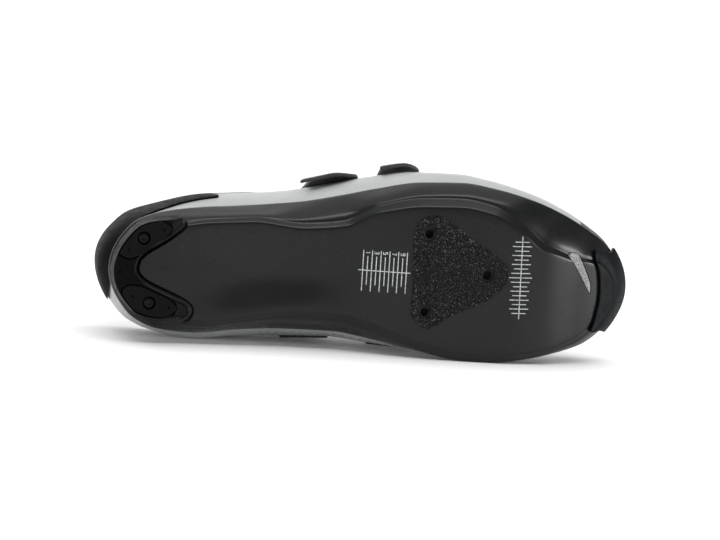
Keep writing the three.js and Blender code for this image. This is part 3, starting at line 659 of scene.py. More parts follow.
def sole_form(name, grow, lift):
    """Everything above the sole's underside, or above a copy of it moved out by grow."""

    def section(side, shares):
        under = underside_section(side, shares, grow)
        under = soften(under, (PLATEAU_CORNER, PLATEAU_CORNER + 1), CREASE_RADIUS)
        rim = under[:, -1]
        top = rim.copy()
        top[:, 2] += grow + lift
        middle = np.maximum(rim_height(MEDIAL, shares), rim_height(LATERAL, shares)) + lift
        end = points3(spine_point(shares), middle)
        return np.concatenate([under, top[:, None], end[:, None]], axis=1)

    return fan_piece(name, section)


def upper_form(name, inset, drop=0.0):
    def section(side, shares):
        wall = upper_section(side, shares, inset)
        base = np.minimum(rim_height(MEDIAL, shares), rim_height(LATERAL, shares))
        start = points3(spine_point(shares), base + LIP_THICKNESS - drop)
        parts = [start[:, None]]
        if drop:
            foot = wall[:, 0].copy()
            foot[:, 2] -= drop
            parts.append(foot[:, None])
        return np.concatenate([*parts, wall], axis=1)

    return fan_piece(name, section)


def prism(name, outline, low, high, turned=False):
    """A prism over an outline, upright or, when turned, across the shoe over a side view."""
    outline = np.asarray(outline, float)
    count = len(outline)
    ends = []
    for level in (low, high):
        if turned:
            ends.append(np.column_stack([outline[:, 0], np.full(count, level), outline[:, 1]]))
        else:
            ends.append(points3(outline, level))
    faces = [tuple(range(count)), tuple(range(count, 2 * count))]
    faces += [(i, (i + 1) % count, (i + 1) % count + count, i + count) for i in range(count)]
    return piece_from(name, np.concatenate(ends), faces)


def circle(x, y, diameter, steps=48):
    angles = np.arange(steps) / steps * 2 * math.pi
    return np.column_stack([x + diameter / 2 * np.cos(angles), y + diameter / 2 * np.sin(angles)])


def cylinder(x, y, low, high, diameter, steps=48):
    return prism("cylinder", circle(x, y, diameter, steps), low, high)


def settle(piece):
    """Applies the modifiers of a piece to its mesh."""
    graph = bpy.context.evaluated_depsgraph_get()
    mesh = bpy.data.meshes.new_from_object(piece.evaluated_get(graph))
    piece.modifiers.clear()
    old = piece.data
    piece.data = mesh
    bpy.data.meshes.remove(old)
    mesh.name = piece.name
    return piece


def combine(piece, cutter, operation="DIFFERENCE"):
    modifier = piece.modifiers.new("Cut", "BOOLEAN")
    modifier.operation = operation
    modifier.solver = "MANIFOLD"
    modifier.object = cutter
    settle(piece)
    bpy.data.objects.remove(cutter)
    return piece


def largest(piece):
    """Keeps only the body of a piece that has the most points."""
    work = bmesh.new()
    work.from_mesh(piece.data)
    work.verts.ensure_lookup_table()
    seen = set()
    bodies = []
    for vert in work.verts:
        if vert.index in seen:
            continue
        seen.add(vert.index)
        body = [vert]
        for member in body:
            for edge in member.link_edges:
                other = edge.other_vert(member)
                if other.index not in seen:
                    seen.add(other.index)
                    body.append(other)
        bodies.append(body)
    bodies.sort(key=len)
    for body in bodies[:-1]:
        bmesh.ops.delete(work, geom=body, context="VERTS")
    work.to_mesh(piece.data)
    work.free()
    return piece


def remold(piece, voxel, rounds=5):
    """Moulded rubber has no sharp edge: an even mesh, smoothed a little."""
    remesh = piece.modifiers.new("Even", "REMESH")
    remesh.mode = "VOXEL"
    remesh.voxel_size = voxel * 0.001
    smooth = piece.modifiers.new("Soft edges", "SMOOTH")
    smooth.factor = 0.5
    smooth.iterations = rounds
    settle(piece)
    piece.data.shade_smooth()
    return piece


def shade(piece, angle=35):
    piece.data.shade_smooth()
    piece.data.set_sharp_from_angle(angle=math.radians(angle))
    return piece


def bevelled(piece, width, segments=2, angle=40):
    modifier = piece.modifiers.new("Edges", "BEVEL")
    modifier.width = width * 0.001
    modifier.segments = segments
    modifier.limit_method = "ANGLE"
    modifier.angle_limit = math.radians(angle)
    modifier.harden_normals = False
    return settle(piece)


def sheet_solid(name, outer, inner, is_closed=False):
    """A closed solid between an outer and an inner grid of points, with the same rows and columns."""
    rows, columns = outer.shape[:2]
    index = np.arange(rows * columns).reshape(rows, columns)
    below = index + index.size
    faces = [grid_faces(index), grid_faces(below)[:, ::-1]]
    rims = [index[0], index[:, -1], index[-1][::-1], index[:, 0][::-1]]
    ring = np.concatenate([rim[:-1] for rim in rims])
    after = np.roll(ring, -1)
    faces.append(np.stack([ring, ring + index.size, after + index.size, after], axis=-1))
    points = np.concatenate([outer.reshape(-1, 3), inner.reshape(-1, 3)])
    return piece_from(name, points, np.concatenate(faces))


def smooth_line(points, is_closed, steps=14):
    """A smooth line through a few points: a centripetal Catmull-Rom curve."""
    points = np.asarray(points, float)
    if is_closed:
        padded = np.vstack([points[-1:], points, points[:2]])
    else:
        padded = np.vstack([2 * points[0] - points[1], points, 2 * points[-1] - points[-2]])
    line = []
    for a, b, c, d in zip(padded, padded[1:], padded[2:], padded[3:]):
        ab, bc, cd = (np.linalg.norm(q - p) ** 0.5 for p, q in ((a, b), (b, c), (c, d)))
        start = ((b - a) / ab - (c - a) / (ab + bc) + (c - b) / bc) * bc
        end = ((c - b) / bc - (d - b) / (bc + cd) + (d - c) / cd) * bc
        for u in np.arange(steps) / steps:
            cubic = (2 * b - 2 * c + start + end) * u**3
            line.append(b + start * u + (-3 * b + 3 * c - 2 * start - end) * u**2 + cubic)
    if not is_closed:
        line.append(points[-1])
    return np.array(line)


def on_sole(rows):
    return np.array([onto(at, across) for at, across in zip(rows["at"], rows["across"])])


def in_side_view(rows):
    return np.column_stack([np.array(rows["at"]) * SHOE_LENGTH, np.array(rows["high"]) * COLLAR_HEIGHT])


def tree_of(points, faces):
    return BVHTree.FromPolygons([Vector(point) for point in points], [tuple(face) for face in faces])


def moved_outline(outline, grow):
    """A closed outline moved outwards by grow."""
    ahead = np.roll(outline, -1, axis=0) - np.roll(outline, 1, axis=0)
    normal = np.column_stack([ahead[:, 1], -ahead[:, 0]])
    normal /= np.linalg.norm(normal, axis=1, keepdims=True)
    turn = np.sum(outline[:, 0] * np.roll(outline[:, 1], -1) - np.roll(outline[:, 0], -1) * outline[:, 1])
    return outline + normal * grow * np.sign(turn)


# Materials. Each one starts from the same shader, and the detail is worked out from noise.


class Finish:
    """A material whose nodes are added one by one."""

    def __init__(self, name, colour, roughness, **sockets):
        self.material = bpy.data.materials.new(name)
        self.material.use_nodes = True
        self.nodes = self.material.node_tree.nodes
        self.links = self.material.node_tree.links
        self.shader = self.nodes["Principled BSDF"]
        self.shader.inputs["Base Color"].default_value = (*colour, 1)
        self.shader.inputs["Roughness"].default_value = roughness
        for label, value in sockets.items():
            self.shader.inputs[label.replace("_", " ")].default_value = value
        self.place = self.nodes.new("ShaderNodeTexCoord").outputs["Object"]
        self.bump = None

    def noise(self, size, detail=3.0, rough=0.55, stretch=(1, 1, 1)):
        """Noise with features of a size in millimetres."""
        mapping = self.nodes.new("ShaderNodeMapping")
        mapping.inputs["Scale"].default_value = stretch
        self.links.new(self.place, mapping.inputs["Vector"])
        node = self.nodes.new("ShaderNodeTexNoise")
        node.inputs["Scale"].default_value = 1000 / size
        node.inputs["Detail"].default_value = detail
        node.inputs["Roughness"].default_value = rough
        self.links.new(mapping.outputs["Vector"], node.inputs["Vector"])
        return node.outputs["Fac"]

    def cells(self, size, feature="F1", output="Distance", randomness=1.0):
        node = self.nodes.new("ShaderNodeTexVoronoi")
        node.feature = feature
        node.inputs["Scale"].default_value = 1000 / size
        node.inputs["Randomness"].default_value = randomness
        self.links.new(self.place, node.inputs["Vector"])
        return node.outputs[output]

    def waves(self, size, axis="X", twist=0.0):
        node = self.nodes.new("ShaderNodeTexWave")
        node.bands_direction = axis
        node.inputs["Scale"].default_value = 1000 / size / (2 * math.pi) * 2
        node.inputs["Distortion"].default_value = twist
        self.links.new(self.place, node.inputs["Vector"])
        return node.outputs["Fac"]

    def ranged(self, value, low, high, to_low=0.0, to_high=1.0):
        node = self.nodes.new("ShaderNodeMapRange")
        node.inputs["From Min"].default_value = low
        node.inputs["From Max"].default_value = high
        node.inputs["To Min"].default_value = to_low
        node.inputs["To Max"].default_value = to_high
        self.links.new(value, node.inputs["Value"])
        return node.outputs["Result"]

    def product(self, a, b):
        node = self.nodes.new("ShaderNodeMath")
        node.operation = "MULTIPLY"
        self.links.new(a, node.inputs[0])
        self.links.new(b, node.inputs[1])
        return node.outputs[0]

    def colours(self, value, *stops):
        """The colour from stops of (place, colour) along a value."""
        node = self.nodes.new("ShaderNodeValToRGB")
        ramp = node.color_ramp
        ramp.elements[0].position, ramp.elements[0].color = stops[0][0], (*stops[0][1], 1)
        ramp.elements[1].position, ramp.elements[1].color = stops[-1][0], (*stops[-1][1], 1)
        for position, colour in stops[1:-1]:
            ramp.elements.new(position).color = (*colour, 1)
        self.links.new(value, node.inputs["Fac"])
        self.links.new(node.outputs["Color"], self.shader.inputs["Base Color"])
        return node.outputs["Color"]

    def rough(self, value, low, high):
        self.links.new(self.ranged(value, 0.3, 0.7, low, high), self.shader.inputs["Roughness"])

    def relief(self, value, depth, strength=1.0):
        """A bump of a depth in millimetres, over those added before."""
        node = self.nodes.new("ShaderNodeBump")
        node.inputs["Strength"].default_value = strength
        node.inputs["Distance"].default_value = depth * 0.001
        self.links.new(value, node.inputs["Height"])
        if self.bump:
            self.links.new(self.bump, node.inputs["Normal"])
        self.bump = node.outputs["Normal"]
        self.links.new(self.bump, self.shader.inputs["Normal"])


def composite_finish():
    finish = Finish("composite", (0.004, 0.0043, 0.0047), 0.3, Specular_IOR_Level=0.12)
    finish.shader.inputs["Coat Weight"].default_value = 0.3
    finish.shader.inputs["Coat Roughness"].default_value = 0.18
    broad = finish.noise(38, 4)
    finish.colours(broad, (0.3, (0.003, 0.0033, 0.0036)), (0.72, (0.0047, 0.0051, 0.0056)))
    finish.rough(finish.noise(9, 5), 0.25, 0.38)
    finish.relief(finish.noise(0.5, 2), 0.012)
    finish.relief(finish.noise(14, 2), 0.05)
    return finish.material


def rubber_finish(name, colour, roughness, shine, grain=0.45, depth=0.03):
    finish = Finish(name, colour, roughness, Specular_IOR_Level=shine)
    lighter = tuple(part * 1.5 for part in colour)
    finish.colours(finish.noise(11, 5), (0.35, colour), (0.75, lighter))
    finish.rough(finish.noise(3.5, 4), roughness - 0.08, roughness + 0.1)
    finish.relief(finish.noise(grain, 3), depth)
    finish.relief(finish.noise(5, 2), depth)
    return finish.material


def grip_finish():
    """Gritty anti-slip sheet: near-black with small light flecks."""
    finish = Finish("grip", (0.003, 0.003, 0.003), 0.75, Specular_IOR_Level=0.08)
    grit = finish.noise(0.75, 2, 0.7)
    finish.colours(
        grit,
        (0.0, (0.002, 0.002, 0.002)),
        (0.54, (0.005, 0.005, 0.005)),
        (0.63, (0.03, 0.031, 0.031)),
        (0.72, (0.12, 0.122, 0.122)),
    )
    finish.rough(finish.noise(1.2, 3), 0.55, 0.9)
    finish.relief(grit, 0.5)
    return finish.material


def metal_finish(name, colour, roughness):
    finish = Finish(name, colour, roughness, Metallic=1.0)
    finish.rough(finish.noise(1.1, 4, stretch=(1, 1, 4)), roughness - 0.08, roughness + 0.14)
    darker = tuple(part * 0.6 for part in colour)
    finish.colours(finish.noise(2.5, 4), (0.3, darker), (0.7, colour))
    finish.relief(finish.noise(0.25, 2), 0.01)
    return finish.material


def vent_finish():
    finish = Finish("vent_mesh", (0.3, 0.3, 0.3), 0.6)
    holes = finish.cells(0.62)
    finish.colours(
        holes,
        (0.18, (0.035, 0.036, 0.037)),
        (0.36, (0.12, 0.124, 0.124)),
        (0.62, (0.3, 0.304, 0.3)),
    )
    finish.relief(holes, 0.3)
    return finish.material


def upper_finish():
    """Coated microfibre with a faint nap and a soft gloss."""
    finish = Finish("upper_synthetic", (0.33, 0.338, 0.34), 0.36, Specular_IOR_Level=0.15)
    finish.shader.inputs["Coat Weight"].default_value = 0.03
    finish.shader.inputs["Coat Roughness"].default_value = 0.2
    finish.colours(finish.noise(30, 4), (0.3, (0.31, 0.317, 0.32)), (0.7, (0.345, 0.353, 0.356)))
    finish.rough(finish.noise(6, 5), 0.3, 0.45)
    finish.relief(finish.cells(0.55), 0.03)
    finish.relief(finish.noise(9, 3), 0.12)
    return finish.material


def mesh_finish():
    """Open black knit of the toe panel."""
    finish = Finish("upper_mesh", (0.012, 0.012, 0.013), 0.6, Sheen_Weight=0.15)
    holes = finish.cells(1.05, randomness=0.25)
    finish.colours(
        holes,
        (0.2, (0.002, 0.002, 0.002)),
        (0.36, (0.016, 0.0165, 0.018)),
        (0.6, (0.045, 0.047, 0.05)),
    )
    finish.rough(finish.noise(4, 3), 0.45, 0.7)
    finish.relief(holes, 0.35)
    return finish.material


def fabric_finish(name, colour, size, roughness=0.85, sheen=0.3, depth=0.25):
    """Woven cloth: crossing threads with a little fuzz."""
    finish = Finish(name, colour, roughness, Sheen_Weight=sheen)
    finish.shader.inputs["Sheen Roughness"].default_value = 0.5
    threads = finish.product(finish.waves(size, "X", 0.6), finish.waves(size, "Z", 0.6))
    lighter = tuple(min(part * 2.2 + 0.004, 1) for part in colour)
    finish.colours(threads, (0.0, tuple(part * 0.5 for part in colour)), (0.5, colour), (1, lighter))
    finish.rough(finish.noise(5, 3), roughness - 0.1, min(roughness + 0.1, 1))
    finish.relief(threads, depth)
    finish.relief(finish.noise(0.3, 3), depth * 0.6)
    return finish.material


def ink_finish():
    finish = Finish("print", (0.5, 0.51, 0.52), 0.5)
    finish.colours(finish.noise(1.2, 4), (0.35, (0.24, 0.25, 0.25)), (0.6, (0.44, 0.45, 0.46)))
    finish.rough(finish.noise(2, 3), 0.4, 0.6)
    return finish.material


def thread_finish():
    finish = Finish("thread", (0.05, 0.05, 0.052), 0.7, Sheen_Weight=0.2)
    twist = finish.waves(0.35, "X", 1.5)
    finish.colours(twist, (0.1, (0.03, 0.03, 0.031)), (0.9, (0.09, 0.09, 0.093)))
    finish.relief(twist, 0.08)
    return finish.material


def floor_finish():
    finish = Finish("floor", (0.9, 0.9, 0.9), 0.65, Specular_IOR_Level=0.2)
    finish.colours(finish.noise(220, 3), (0.3, (0.89, 0.89, 0.89)), (0.7, (0.92, 0.92, 0.92)))
    finish.relief(finish.noise(2.5, 2), 0.02)
    return finish.material


composite = composite_finish()
block_rubber = rubber_finish("block_rubber", (0.0011, 0.0012, 0.0013), 0.42, 0.05)
tread_rubber = rubber_finish("tread_rubber", (0.0014, 0.0015, 0.0016), 0.55, 0.08, 0.6, 0.06)
bumper_rubber = rubber_finish("bumper_rubber", (0.002, 0.0028, 0.0036), 0.46, 0.08)
counter_finish = rubber_finish("counter", (0.0032, 0.0033, 0.0036), 0.4, 0.008, 0.3)
grip = grip_finish()
insert_steel = metal_finish("insert_steel", (0.05, 0.051, 0.053), 0.45)
screw_steel = metal_finish("screw_steel", (0.016, 0.0155, 0.017), 0.42)
vent_material = vent_finish()
upper_synthetic = upper_finish()
upper_mesh = mesh_finish()
lining_cloth = fabric_finish("lining", (0.016, 0.016, 0.017), 0.8)
strap_cloth = fabric_finish("strap", (0.009, 0.009, 0.0095), 0.7, 0.8, 0.25, 0.3)
tongue_cloth = fabric_finish("tongue", (0.02, 0.0205, 0.022), 1.1, 0.8, 0.35, 0.35)
bed_cloth = fabric_finish("foot_bed", (0.03, 0.031, 0.034), 0.9)
ink = ink_finish()
thread = thread_finish()


def dress(piece, material, replaced=()):
    """Gives a piece its material and its body."""
    piece.data.materials.clear()
    piece.data.materials.append(material)
    if replaced:
        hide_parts(*replaced)
    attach(piece, "root")
    return piece


# The sole and what is on it


rear_bolt_x = onto(REAR_BOLT_AT, 0)[0]
BOLTS = {
    "front": (rear_bolt_x + BOLT_HEIGHT, BOLT_MIDDLE),
    "lateral": (rear_bolt_x, BOLT_MIDDLE - BOLT_BASE / 2),
    "medial": (rear_bolt_x, BOLT_MIDDLE + BOLT_BASE / 2),
}
SCREWS = {"lateral": on_sole(LATERAL_SCREW)[0], "medial": on_sole(MEDIAL_SCREW)[0]}
vent_outline = smooth_line(on_sole(VENT_LINE), True)
pad_outline = smooth_line(on_sole(PAD_LINE), True)


def sole_section(side, shares):
    under = underside_section(side, shares)
    section = np.concatenate([under, bowl_section(side, shares)], axis=1)
    section = soften(section, (RIM_CORNER, RIM_CORNER + 1), RIM_RADIUS)
    return soften(section, (PLATEAU_CORNER, PLATEAU_CORNER + 1), CREASE_RADIUS)


def block_region():
    """What lies behind the inner edge of the heel block in plan."""
    inner = smooth_line(on_sole(HORSESHOE_LINE), False)
    region = [(-FAR, -BALL_WIDTH), (inner[0][0], -BALL_WIDTH), *inner]
    return np.array([*region, (inner[-1][0], BALL_WIDTH), (-FAR, BALL_WIDTH)])


def make_groove():
    """The channel in the sole beside the heel block, with rounded walls."""
    inner = smooth_line(on_sole(HORSESHOE_LINE), False)
    ahead = np.gradient(inner, axis=0)
    ahead /= np.linalg.norm(ahead, axis=1, keepdims=True)
    outward = np.column_stack([ahead[:, 1], -ahead[:, 0]])
    rings = []
    columns = np.linspace(-1, 1, 17)
    for point, normal in zip(inner, outward):
        across = point + normal * (GROOVE_WIDTH / 2 + (GROOVE_WIDTH / 2 + 0.4) * columns[:, None])
        depth = GROOVE_DEPTH * np.sqrt(1 - columns**2) + 0.15
        surface = height_at(across[:, 0])
        rings.append(points3(across, surface + depth))
    upper = np.array(rings)
    lower = upper.copy()
    lower[..., 2] = -FAR / 10
    groove = sheet_solid("groove", lower, upper)
    limit = sole_edge_outline(-GROOVE_MARGIN)
    return combine(groove, prism("limit", limit, -FAR, FAR), "INTERSECT")


def make_sole():
    sole = fan_piece("sole_shell", sole_section)
    for x, y in BOLTS.values():
        combine(sole, cylinder(x, y, -5, 30, INSERT_DIAMETER + 2 * CLEARANCE))
    combine(sole, prism("vent_cut", vent_outline, -FAR, FAR))
    combine(sole, make_groove())
    shade(sole, 30)
    return dress(sole, composite, ["sole_plate"])


def foot_inset(side, shares):
    return BLOCK_INSET * heel_foot["inset_" + SIDE_NAMES[side]](shares)


def sole_edge_outline(grow, with_foot=0):
    """The sole's outline in plan, moved outwards by grow and inwards by the block's foot."""
    shares = share_of(np.arange(STATIONS + 1) / STATIONS)
    back = shares[1:-1][::-1]
    return np.concatenate([
        edge_point(LATERAL, shares, grow - with_foot * foot_inset(LATERAL, shares)),
        edge_point(MEDIAL, back, grow - with_foot * foot_inset(MEDIAL, back)),
    ])


def tread_form(name, rows, grow, low, high):
    """A tread's outline as a solid, kept inside the block's edge."""
    form = prism(name, moved_outline(smooth_line(on_sole(rows), True), grow), low, high)
    limit = sole_edge_outline(grow - TREAD_MARGIN, with_foot=1)
    return combine(form, prism("limit", limit, low - 1, high + 1), "INTERSECT")


TREADS = {"lateral": LATERAL_TREAD_LINE, "medial": MEDIAL_TREAD_LINE}
PINHOLES = ((30.8, -21, 1.2), (13.8, -10.7, 1.2), (16.9, 12.5, 1.2), (35, 17.5, 1.2))
MIDDLE_DOT = (10.3, 0.6, 1.3)


def make_heel_block():
    def section(side, shares):
        spine = spine_point(shares)
        inset = foot_inset(side, shares)
        foot = edge_point(side, shares, -inset)
        top = edge_point(side, shares, -inset * BLOCK_TOP_SHARE)
        high = rim_height(side, shares) + BLOCK_OVERLAP
        return stack([
            place(spine, foot, 0, TREAD_PROUD),
            place(spine, foot, 1, TREAD_PROUD),
            place(spine, top, 1, high),
            place(spine, top, 0, rim_height(MEDIAL, shares) + BLOCK_OVERLAP),
        ])

    block = fan_piece("heel_horseshoe", section)
    combine(block, prism("region", block_region(), 0, 60), "INTERSECT")
    combine(block, sole_form("above", CLEARANCE, 80))
    for rows in TREADS.values():
        combine(block, tread_form("pocket", rows, CLEARANCE, -1, TREAD_PROUD + POCKET_DEPTH))
    x, y, size = MIDDLE_DOT
    combine(block, cylinder(x, y, 0, TREAD_PROUD + 1, size, 24))
    for side in SIDES:
        tip = onto(TIP_START[side], 0)[0]
        slope = [
            (tip, TREAD_PROUD - 2),
            (tip, TREAD_PROUD),
            (tip + TIP_RUN, TREAD_PROUD + TIP_RISE),
            (tip + 4 * TIP_RUN, TREAD_PROUD + TIP_RISE),
            (tip + 4 * TIP_RUN, TREAD_PROUD - 2),
        ]
        ends = sorted((0, side * BALL_WIDTH))
        combine(block, prism("slope", slope, *ends, turned=True))
    largest(block)
    remold(block, 0.38, 4)
    return dress(block, block_rubber, ["heel_block"])


def make_tread(side_name):
    top = TREAD_PROUD + POCKET_DEPTH - CLEARANCE
    tread = tread_form("tread_" + side_name, TREADS[side_name], 0, 0, top)
    x, y = SCREWS[side_name]
    combine(tread, cylinder(x, y, -1, 10, SCREW_HEAD_DIAMETER + 2 * CLEARANCE))
    for px, py, size in PINHOLES:
        is_here = (py < 0) == (side_name == "lateral")
        if is_here:
            combine(tread, cylinder(px, py, -1, 1, size, 24))
    remold(tread, 0.22, 3)
    return dress(tread, tread_rubber, ["heel_tread_" + side_name])


def lathe(name, x, y, profile, steps=48):
    """A turned solid from (radius, z) along its closed profile, around an upright axis."""
    profile = np.array(profile, float)
    angles = np.arange(steps) / steps * 2 * math.pi
    rings = []
    for angle in angles:
        rings.append(np.column_stack([
            x + profile[:, 0] * math.cos(angle),
            y + profile[:, 0] * math.sin(angle),
            profile[:, 1],
        ]))
    count = len(profile)
    index = np.arange(steps * count).reshape(steps, count)
    closed = np.concatenate([index, index[:1]])
    closed = np.concatenate([closed, closed[:, :1]], axis=1)
    return piece_from(name, np.concatenate(rings), grid_faces(closed))


def make_screw(side_name):
    """A button-headed screw with a hexagonal socket, sunk in its tread."""
    x, y = SCREWS[side_name]
    top = TREAD_PROUD + POCKET_DEPTH - CLEARANCE
    low = top - SCREW_HEAD_HEIGHT
    radius = SCREW_HEAD_DIAMETER / 2
    dome = [(0.02, low), (radius * 0.6, low + 0.05), (radius * 0.85, low + 0.25), (radius, low + 0.7)]
    screw = lathe("screw_" + side_name, x, y, [*dome, (radius, top), (0.02, top)])
    combine(screw, cylinder(x, y, low - 1, low + SOCKET_DEPTH, SOCKET_DIAMETER, 6))
    shade(bevelled(screw, 0.08), 35)
    return dress(screw, screw_steel, ["tread_screw_" + side_name])


def make_insert(name):
    """A threaded insert with a chamfered mouth and a ridged bore."""
    x, y = BOLTS[name]
    outer, bore = INSERT_DIAMETER / 2, INSERT_BORE / 2
    ridges = []
    thread_pitch = 0.8
    depth = 0.22
    z = 0.5
    while z < INSERT_HEIGHT - 0.6:
        ridges += [(bore + depth, z), (bore, z + thread_pitch / 2)]
        z += thread_pitch
    profile = [(outer - 0.25, 0), (bore + 0.45, 0), *ridges, (bore + 0.3, INSERT_HEIGHT)]
    profile += [(outer, INSERT_HEIGHT), (outer, 0.25)]
    insert = lathe("insert_" + name, x, y, profile)
    shade(insert, 30)
    return dress(insert, insert_steel, ["cleat_nut_" + name])


# Moulded marks on the toe guard: millimetres along and across, and diameters
BUMPER_DOTS = ((260.1, -10.5, 1.1), (261.7, 17.4, 1.2))
BUMPER_RING = (262.5, 3.6, 2.6)


def make_bumper():
    line = smooth_line(on_sole(BUMPER_LINE), False)
    front = SHOE_LENGTH + 20
    region = [*line, (front, BALL_WIDTH), (front, -BALL_WIDTH)]
    bumper = sole_form("toe_guard", CLEARANCE + BUMPER_THICKNESS, LIP_THICKNESS / 2)
    combine(bumper, sole_form("inside", CLEARANCE, 60))
    combine(bumper, prism("region", region, -20, 80), "INTERSECT")
    largest(bumper)
    for x, y, size in BUMPER_DOTS:
        combine(bumper, cylinder(x, y, 0, height_at(x) - 0.9, size, 24))
    x, y, size = BUMPER_RING
    ring = cylinder(x, y, 0, height_at(x) - 1.3, size, 32)
    combine(ring, cylinder(x, y, -1, FAR / 10, size - 0.9, 32))
    combine(bumper, ring)
    remold(bumper, 0.26, 3)
    return dress(bumper, bumper_rubber, ["toe_bumper"])


def make_pad():
    pad = sole_form("grip_sheet", CLEARANCE + PAD_THICKNESS, 0)
    combine(pad, sole_form("inside", CLEARANCE, 60))
    combine(pad, prism("region", pad_outline, -10, 20), "INTERSECT")
    for x, y in BOLTS.values():
        combine(pad, cylinder(x, y, -5, 5, INSERT_DIAMETER))
    remold(pad, 0.3, 2)
    grit = bpy.data.textures.new("grit", "CLOUDS")
    grit.noise_scale = 0.0009
    grit.noise_depth = 1
    rough = pad.modifiers.new("Grit", "DISPLACE")
    rough.texture = grit
    rough.texture_coords = "LOCAL"
    rough.strength = 0.0003
    rough.mid_level = 0.55
    settle(pad)
    pad.data.shade_smooth()
    return dress(pad, grip, ["cleat_pad"])


def make_vent():
    vent = sole_form("vent_screen", -VENT_RECESS, 0)
    combine(vent, sole_form("inside", -VENT_RECESS - VENT_THICKNESS, 60))
    outline = moved_outline(vent_outline, -CLEARANCE)
    combine(vent, prism("region", outline, -5, 80), "INTERSECT")
    largest(vent)
    remold(vent, 0.15, 1)
    return dress(vent, vent_material, ["toe_vent_mesh"])


def make_insole():
    def section(side, shares):
        bowl = bowl_section(side, shares)[:, 1:][:, ::-1]
        spine = bowl[:, :1, :2]
        reach = np.linalg.norm(bowl[:, -1, :2] - spine[:, 0], axis=1)
        inner = (1 - 1 / reach)[:, None, None]
        low = bowl.copy()
        low[..., :2] = mix(spine, bowl[..., :2], inner)
        low[..., 2] += CLEARANCE
        high = low.copy()
        high[..., 2] += mix(INSOLE_THICKNESS, 1.2, np.linspace(0, 1, bowl.shape[1]))[None]
        return np.concatenate([low, high[:, ::-1]], axis=1)

    bed = fan_piece("foot_bed", section)
    shade(bed, 40)
    return dress(bed, bed_cloth, ["insole"])


# Printed scales: thin strips of ink that follow the underside


under_points, under_faces = fan(sole_section, 110)
under_tree = tree_of(under_points, under_faces)


def underside_at(x, y):
    """The height of the sole's underside at a point in plan."""
    hit = under_tree.ray_cast(Vector((x, y, -30)), Vector((0, 0, 1)))[0]
    return hit.z


INK_THICKNESS = 0.05


def ink_patch(corners):
    """Points and faces of a thin patch with four corners in plan, on the underside."""
    steps = 12
    outer = np.zeros((steps + 1, 2, 3))
    a, b, c, d = (np.array(corner, float) for corner in corners)
    for i in range(steps + 1):
        for k, point in enumerate((mix(a, d, i / steps), mix(b, c, i / steps))):
            outer[i, k] = (*point, underside_at(*point) - INK_THICKNESS)
    inner = outer.copy()
    inner[..., 2] += INK_THICKNESS * 2
    return outer, inner


def ink_line(start, end, width):
    start, end = np.array(start, float), np.array(end, float)
    ahead = (end - start) / np.linalg.norm(end - start)
    across = np.array([-ahead[1], ahead[0]]) * width / 2
    return ink_patch([start - across, start + across, end + across, end - across])


def joined(name, parts):
    """One piece from several thin solids."""
    pieces = [sheet_solid(name, outer, inner) for outer, inner in parts]
    return merged(name, pieces)


def merged(name, pieces):
    work = bmesh.new()
    for piece in pieces:
        work.from_mesh(piece.data)
        bpy.data.objects.remove(piece)
    mesh = bpy.data.meshes.new(name)
    work.to_mesh(mesh)
    work.free()
    whole = bpy.data.objects.new(name, mesh)
    bpy.context.scene.collection.objects.link(whole)
    return whole


# The numbers' strokes in a box one wide and one high
DIGITS = {
    "1": [((0.3, 0.8), (0.55, 1)), ((0.55, 1), (0.55, 0))],
    "3": [((0.1, 1), (0.8, 1)), ((0.8, 1), (0.8, 0)), ((0.8, 0), (0.1, 0)), ((0.25, 0.5), (0.8, 0.5))],
    "5": [((0.8, 1), (0.15, 1)), ((0.15, 1), (0.15, 0.55)), ((0.15, 0.55), (0.8, 0.55)),
          ((0.8, 0.55), (0.8, 0)), ((0.8, 0), (0.1, 0))],
    "7": [((0.1, 1), (0.85, 1)), ((0.85, 1), (0.4, 0))],
    "9": [((0.8, 0.5), (0.15, 0.5)), ((0.15, 0.5), (0.15, 1)), ((0.15, 1), (0.8, 1)),
          ((0.8, 1), (0.8, 0)), ((0.8, 0), (0.1, 0))],
}
DIGIT_HEIGHT = 2.0
DIGIT_WIDTH = 1.5
DIGIT_MIDDLE = -13.5
DIGIT_STROKE = 0.36
INK_WIDTH = 0.42


def make_rear_scale():
    """Ticks across the arch with every other one numbered, and one line along them."""
    first, pitch = 132.6, 2.14
    parts = [ink_line((130.5, -4.5), (156.1, -4.4), INK_WIDTH)]
    for i in range(11):
        x = first + pitch * i
        is_long = i % 2 == 0
        ends = (-14.7, 6.0) if is_long else (-11.7, 2.8)
        parts.append(ink_line((x, ends[0]), (x, ends[1]), INK_WIDTH))
    for i, digit in enumerate("13579"):
        x = first + pitch * (2 * i + 1)
        for start, end in DIGITS[digit]:
            ends = []
            for across, up in (start, end):
                ends.append((x + (up - 0.5) * DIGIT_HEIGHT, DIGIT_MIDDLE + (across - 0.5) * DIGIT_WIDTH))
            parts.append(ink_line(*ends, DIGIT_STROKE))
    return dress(joined("scale_rear", parts), ink)


def make_front_scale():
    """One long line with seventeen ticks of three lengths."""
    parts = [ink_line((212.5, -25.5), (213.2, 16.6), INK_WIDTH)]
    lengths = {"S": 7.6, "L": 10.2, "X": 12.4}
    for i, size in enumerate("SLSLSLSLXLSLSLSLS"):
        y = -22.6 + 2.27 * i
        x = 212.6 + 0.02 * i
        half = lengths[size] / 2
        parts.append(ink_line((x - half, y), (x + half, y), INK_WIDTH))
    return dress(joined("scale_front", parts), ink)


# The upper, its linings, bindings and overlays


